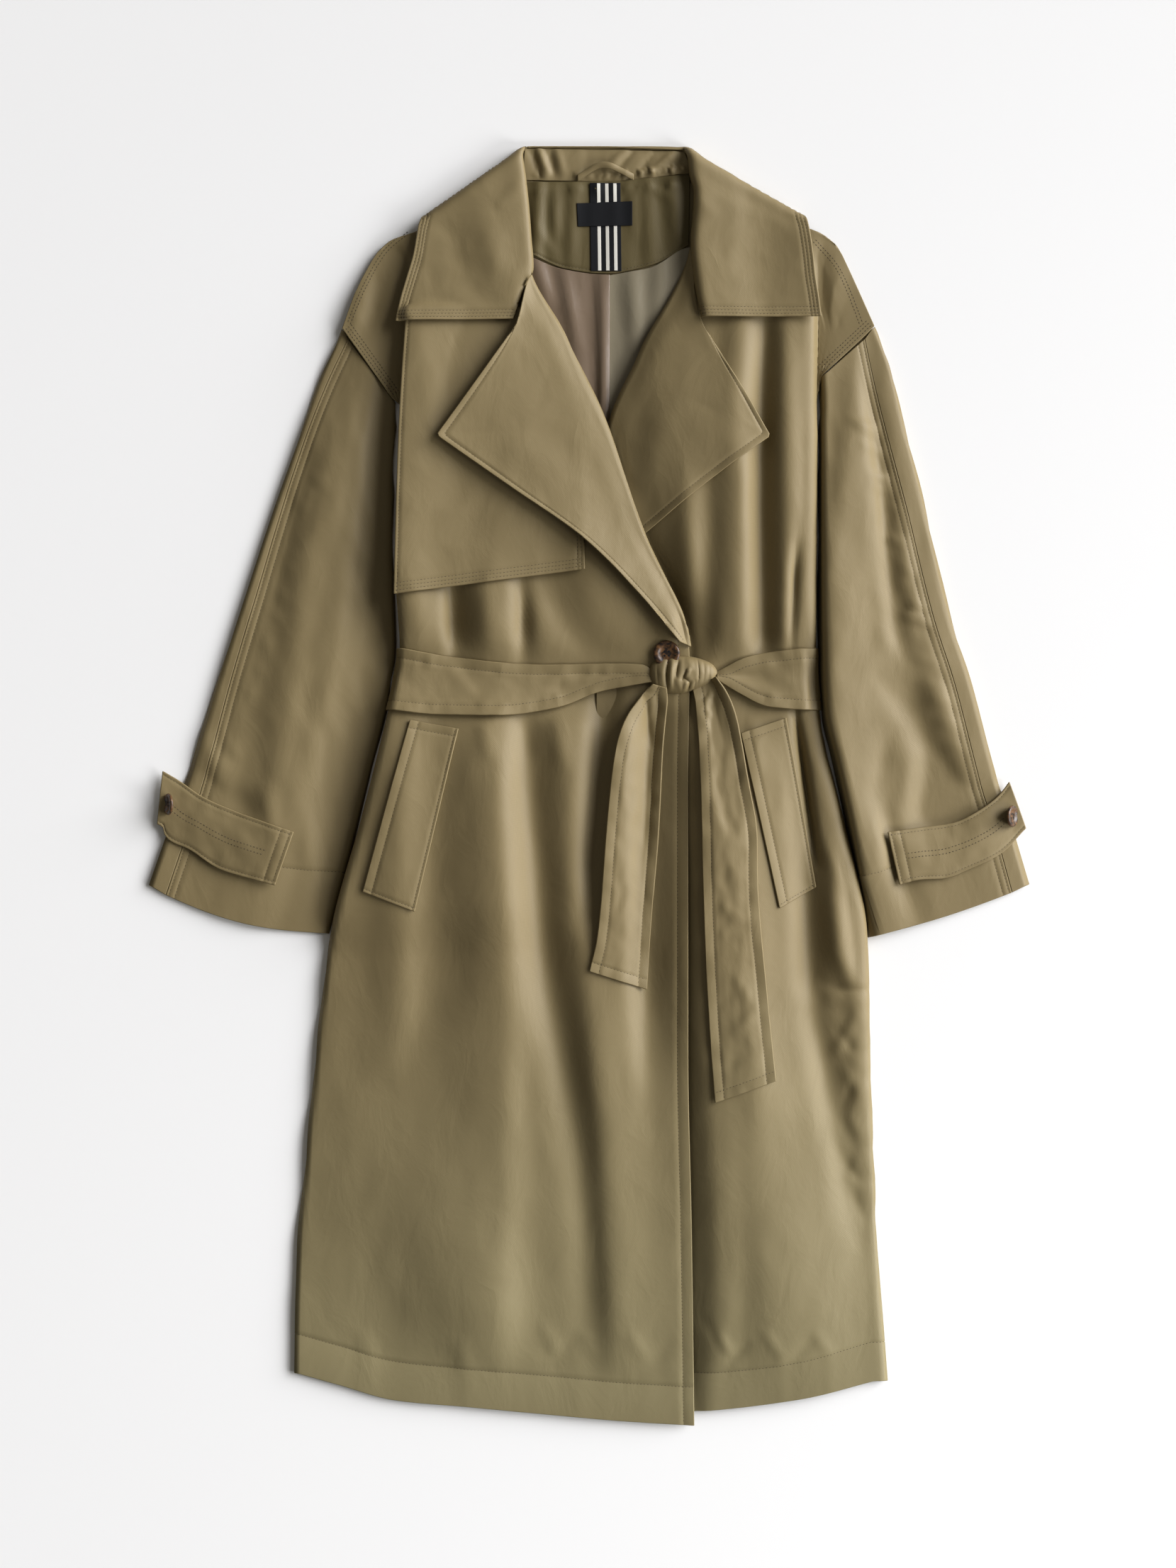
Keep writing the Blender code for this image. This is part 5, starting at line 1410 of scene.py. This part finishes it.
STAND_CREASES = (
    *rows_of(
        Crease, (-54, 592, -42, 560, -2.4, 3.0), (-48, 594, -36, 562, 2.4, 3.0),
        (-38, 594, -30, 562, -2.0, 3.0), (-30, 592, -22, 562, 1.2, 3.4),
        (40, 590, 14, 566, 1.8, 3.6), (46, 590, 24, 566, -1.4, 3.2), (54, 562, 84, 588, 2.2, 3.2),
        (62, 560, 92, 580, -2.0, 3.0), (44, 562, 66, 590, -1.4, 3.2), (74, 560, 98, 574, 1.8, 2.8)),
    *pucker_rows(outline((-54, 563), (18, 561), (92, 568)), 34, (1.5, 7), 0.35, 1.7, 1.5, 9))
FACING_CREASES = (
    *rows_of(
        Crease, (-44, 574, -48, 470, 4.0, 6), (-30, 560, -30, 500, 2.6, 5),
        (-12, 566, -16, 474, 2.2, 6), (40, 566, 44, 500, 1.6, 5), (56, 570, 60, 470, 2.8, 8),
        (78, 572, 84, 486, 3.6, 7), (52, 556, 80, 540, 1.6, 4), (-50, 520, -28, 486, 1.4, 5)),
    *pucker_rows(outline((-54, 553), (18, 554), (92, 560)), 26, (9, 2), 0.3, 1.5, 1.8, 19))
LINING_CREASES = rows_of(
    Crease,
    (-52, 500, -36, 440, 4.0, 7), (-24, 490, -10, 400, 3.0, 6), (13, 490, 14, 300, 3.2, 5),
    (6, 480, 8, 330, -2.0, 5), (40, 490, 44, 400, 2.4, 8), (66, 500, 62, 420, 3.0, 8))


def flap_piece():
    flap = between(*STORM_FLAP, 76, 50)
    own = relief(flap, waves=((0.4, 40, 40, 21),), rumples=((0.5, 30, 40, 22),), folds=FLAP_FOLDS)
    own = own + 0.4 + 2.2 * steps(76)[:, None] ** 6
    grid = laid(flap, ["front_right_cloth"], floor=9.5, passes=220, extra=own)
    cloth("storm_flap_cloth", grid, FACED, GABARDINE, "storm_flap", bottom=FLAP_STITCHES,
          right=FLAP_STITCHES[:2], left=FLAP_STITCHES[:1])


def laid_pieces():
    """The storm flap, lapels and collar, from below upwards, and the pockets' welts."""
    flap_piece()
    left = lapel_grid(1, EDGE_LEFT, *LAPEL_LEFT, ["front_left_cloth"], LAPEL_FOLDS_LEFT, 0.8, 23)
    cloth("lapel_left_cloth", left, FACED, GABARDINE, "lapel_left", right=(6.5,))
    right = lapel_grid(-1, EDGE_RIGHT, *LAPEL_RIGHT,
                       ["front_right_cloth", "storm_flap_cloth", "lapel_left_cloth"],
                       LAPEL_FOLDS_RIGHT, 8.0, 25)
    cloth("lapel_right_cloth", right, FACED, GABARDINE, "lapel_right", left=(6.5,))
    collar_piece()
    for name, corners in (("right", WELT_RIGHT), ("left", WELT_LEFT)):
        flat = four_sided(*corners, 52, 14)
        own = 0.3 + relief(flat, waves=((0.3, 12, 20, 27),))
        cloth(f"pocket_{name}_welt", laid(flat, [f"front_{name}_cloth"], extra=own), FACED,
              GABARDINE, f"pocket_welt_{name}", left=(8.0,), right=(2.2,), top=(7.0,),
              bottom=EDGE_STITCHES)


def belt_pieces():
    cloth("belt_cloth", belt_grid(), FACED, GABARDINE, "belt", top=BELT_STITCHES,
          bottom=BELT_STITCHES)
    knot_piece()
    under = FRONTS + ["belt_cloth", "pocket_left_welt"]
    for name, lines, seed in (("right", TAIL_RIGHT, 45), ("left", TAIL_LEFT, 47)):
        flat = between(*lines, 96, 18)
        own = relief(flat, waves=((0.9, 16, 40, seed), (0.5, 7, 14, seed + 1)),
                     rumples=((0.6, 12, 26, seed + 2),), creases=TAIL_CREASES[name])
        own = own + 0.8 + TAIL_LIFT[name](flat[..., 0], flat[..., 1])
        cloth(f"belt_tail_{name}_cloth", laid(flat, under, extra=own), FACED, GABARDINE,
              f"belt_tail_{name}", left=BELT_STITCHES, right=BELT_STITCHES, bottom=BELT_STITCHES,
              step=2.6)


# The knot's outline and height over the cloth, station by station from left to right
KNOT_STATIONS = rows_of(
    Knot,
    (57.5, 107, 100, 2.0), (60, 112.5, 91, 6.5), (66, 116.5, 87.5, 9.5), (74, 118.8, 86.2, 11.0),
    (83, 119.2, 85.8, 11.6), (90, 118.6, 86.8, 11.4), (99, 117, 89.5, 10.6), (108, 114.2, 93.0, 8.6),
    (114, 111, 97, 5.6), (118, 106, 101.5, 2.0))
KNOT_CREASES = rows_of(
    Crease, (64, 124, 66, 80, -0.5, 0.9), (70, 122, 70, 84, 0.7, 3.0), (75, 122, 73, 84, -3.4, 1.7),
    (79, 119, 77, 86, 1.7, 1.5), (84, 116, 82, 98, -2.4, 1.5), (83, 98, 87, 82, 0.8, 1.8),
    (93, 108, 88, 98, 1.9, 1.2), (91, 106, 86, 96, -3.4, 1.5), (88, 100, 93, 94, -2.2, 1.3),
    (92, 98, 86, 82, 1.8, 1.3), (94, 97, 90, 82, -3.6, 1.5), (92, 120, 94, 104, 1.0, 2.4),
    (100.5, 122, 100, 88, -1.0, 0.8), (98, 98, 97, 88, -1.4, 1.4), (106, 120, 105, 90, -0.5, 1.2),
    (111, 116, 110, 94, -0.5, 1.2))


def knot_piece():
    """The knot: the belt's end wrapped once round the crossing, and pulled into pleats."""
    turns = np.linspace(0.02, 0.98, 64)
    share = (1 - np.cos(np.pi * turns)) / 2
    xs = [station.x for station in KNOT_STATIONS]
    line = steps(88) * (xs[-1] - xs[0]) + xs[0]
    high, low, swell = (curve(xs, [getattr(station, field) for station in KNOT_STATIONS], line)
                        for field in ("high", "low", "height"))
    x = np.tile(line, (len(turns), 1))
    y = high[None] + (low - high)[None] * share[:, None]
    lean = 1.6 * np.sin(np.pi * share)[:, None] * np.sin((x - 60) / 9)
    points = np.stack([x, y], -1).reshape(-1, 2)
    base = np.percentile(heights_under(points[::7], ["belt_cloth", "front_right_cloth"]), 60)
    round_up = np.sin(np.pi * turns)[:, None] ** 0.75
    pleats = crease_heights(x + lean, y, KNOT_CREASES) + 0.4 * rumpled(x, y, 9, 16, 71)
    z = base - KNOT_SUNK + (swell[None] + KNOT_SUNK + pleats) * round_up
    cloth("belt_knot_cloth", np.dstack([x, y, z]), 1.2, GABARDINE, "belt_knot", step=0.8)


def right_tail_lift(x, y):
    """The right tail comes out of the knot as a standing fold and falls flat below it."""
    near = ease((y + 190) / 140)
    outer = 3.6 * np.exp(-((x - line_at(TAIL_RIGHT[1], y)) / 9) ** 2)
    return near * (7.0 * np.exp(-((x - line_at(TAIL_RIGHT[0], y)) / 19) ** 2) + 1.0 + outer)


def left_tail_lift(x, y):
    """The left tail's outer edge stands up as a rim beside the knot."""
    rim = 4.5 * np.exp(-((x - line_at(TAIL_LEFT[1], y) + 1) / 5) ** 2)
    return ease((y + 60) / 140) * rim + ease((y - 30) / 50) * 2


TAIL_LIFT = {"right": right_tail_lift, "left": left_tail_lift}
TAIL_CREASES = {
    "right": rows_of(
        Crease, (52, 98, 57, 34, -3.8, 3.4), (57, 50, 50, -60, -1.6, 6), (66, 96, 64, 30, -0.8, 4),
        (38, 60, 30, -20, 0.9, 5), (30, -60, 44, -110, 1.0, 5), (22, -120, 40, -80, -0.8, 5)),
    "left": rows_of(
        Crease, (117, 92, 106, 70, 2.4, 1.8), (106, 72, 116, 62, 2.0, 1.6),
        (100, 74, 110, 50, 1.8, 2.2), (112, 86, 104, 78, -1.6, 2.0), (113, 92, 121, 26, -4.6, 4.4),
        (120, 40, 128, -70, -1.2, 5.5), (108, 40, 118, -80, 1.6, 6), (116, 0, 132, -70, 1.2, 6),
        (112, -100, 150, -130, 1.0, 5), (120, -150, 150, -120, -1.2, 5),
        (126, -160, 156, -210, 1.2, 5), (122, -200, 150, -176, -1.0, 5),
        (130, -230, 160, -200, 1.1, 5), (126, -262, 152, -236, -1.1, 5))}


def strap_pieces():
    """Each strap, sewn down in a box at its inner end and buttoned at the sleeve's outer fold."""
    for name, lines, side in (("right", STRAP_RIGHT, -1), ("left", STRAP_LEFT, 1)):
        flat = between(*lines, 46, 16).swapaxes(0, 1)
        outward = steps(46)[::-side][None]
        own = relief(flat, waves=((0.5, 14, 14, 61),), rumples=((0.4, 16, 12, 63),))
        own = own + 0.8 * np.sin(np.pi * steps(16))[:, None]
        own = own + 2.2 * ease((outward - 0.72) / 0.28) + 2.0 * ease((outward - 0.12) / 0.3)
        on = [f"sleeve_{name}_front_cloth", f"sleeve_{name}_back_cloth"]
        sewn = {"right" if side < 0 else "left": (2.6, 11.0)}
        cloth(f"cuff_strap_{name}_cloth", laid(flat, on, floor=4.0, passes=40, extra=own), FACED,
              GABARDINE, f"cuff_strap_{name}", top=EDGE_STITCHES, bottom=EDGE_STITCHES, **sewn)
        middle = (flat[0, 4:-4:6] + flat[-1, 4:-4:6]) / 2
        seam_rows(middle, (-2.2, 2.2), [f"cuff_strap_{name}_cloth"])


# What shows of each piece: its cut's width and length in millimetres, and its area in m2
CUTS = rows_of(
    Cut,
    ("back_cloth", 610, 1135, 0.482, "laid", ("surface",)),
    ("front_right_cloth", 400, 1180, 0.349, "laid", ("back_cloth", "front_left_cloth")),
    ("front_left_cloth", 322, 1160, 0.286, "laid", ("back_cloth",)),
    ("sleeve_right_front_cloth", 178, 540, 0.075, "laid", ("sleeve_right_back_cloth",)),
    ("sleeve_right_back_cloth", 180, 545, 0.070, "laid", ("surface",)),
    ("sleeve_left_front_cloth", 167, 530, 0.069, "laid", ("sleeve_left_back_cloth",)),
    ("sleeve_left_back_cloth", 160, 545, 0.065, "laid", ("surface",)),
    ("collar_fall_cloth", 130, 585, 0.061, "folded", ("front_right_cloth", "front_left_cloth")),
    ("collar_stand_cloth", 160, 28, 0.0041, "folded", ("collar_fall_cloth",)),
    ("neck_facing_cloth", 155, 86, 0.0118, "laid", ("back_cloth",)),
    ("lining_right_satin", 88, 172, 0.0081, "laid", ("back_cloth",)),
    ("lining_left_satin", 90, 182, 0.0071, "laid", ("back_cloth",)),
    ("tape_ribbon", 28, 81, 0.0022, "laid", ("neck_facing_cloth",)),
    ("label_ribbon", 51, 22, 0.0011, "laid", ("tape_ribbon",)),
    ("hang_loop_cloth", 10, 58, 0.00030, "folded", ("collar_stand_cloth",)),
    ("storm_flap_cloth", 188, 266, 0.0416, "laid", ("front_right_cloth",)),
    ("lapel_left_cloth", 150, 322, 0.0232, "folded", ("front_left_cloth",)),
    ("lapel_right_cloth", 158, 428, 0.0276, "folded", ("front_right_cloth",)),
    ("pocket_right_welt", 51, 172, 0.0080, "laid", ("front_right_cloth",)),
    ("pocket_left_welt", 45, 165, 0.0069, "laid", ("front_left_cloth",)),
    ("belt_cloth", 60, 768, 0.0367, "laid", ("front_right_cloth", "front_left_cloth")),
    ("belt_knot_cloth", 50, 78, 0.0029, "gathered", ("belt_cloth",)),
    ("belt_tail_right_cloth", 58, 278, 0.0126, "laid", ("front_right_cloth",)),
    ("belt_tail_left_cloth", 62, 382, 0.0190, "laid", ("front_left_cloth",)),
    ("cuff_strap_right_cloth", 56, 135, 0.0066, "laid", ("sleeve_right_front_cloth",)),
    ("cuff_strap_left_cloth", 51, 133, 0.0058, "laid", ("sleeve_left_front_cloth",)))


body_pieces()
sleeve_pieces()
neck_pieces()
laid_pieces()
belt_pieces()
strap_pieces()
seam_rows(ARMHOLE_RIGHT, (2.5, 5.5, 8.5), ["front_right_cloth"])
seam_rows(ARMHOLE_LEFT, (-2.5, -5.5, -8.5), ["front_left_cloth"])
seam_rows(OVERARM_RIGHT, (-1.5, 1.5), ["front_right_cloth"])
seam_rows(OVERARM_LEFT, (-1.5, 1.5), ["front_left_cloth"])
# The stitches take the dark thread, which carries painted shade for their shadows.
stitches("stitching", STITCH_ROWS, THREAD_PAINTED_SHADE)
button("front_button", Point(72.5, 121.5), 12.3, (7, 0), "front_right_cloth")
button("cuff_button_right", Point(-385, -17), 10.0, (0, -62), "cuff_strap_right_cloth")
button("cuff_button_left", Point(390, -28), 10.0, (0, 56), "cuff_strap_left_cloth")
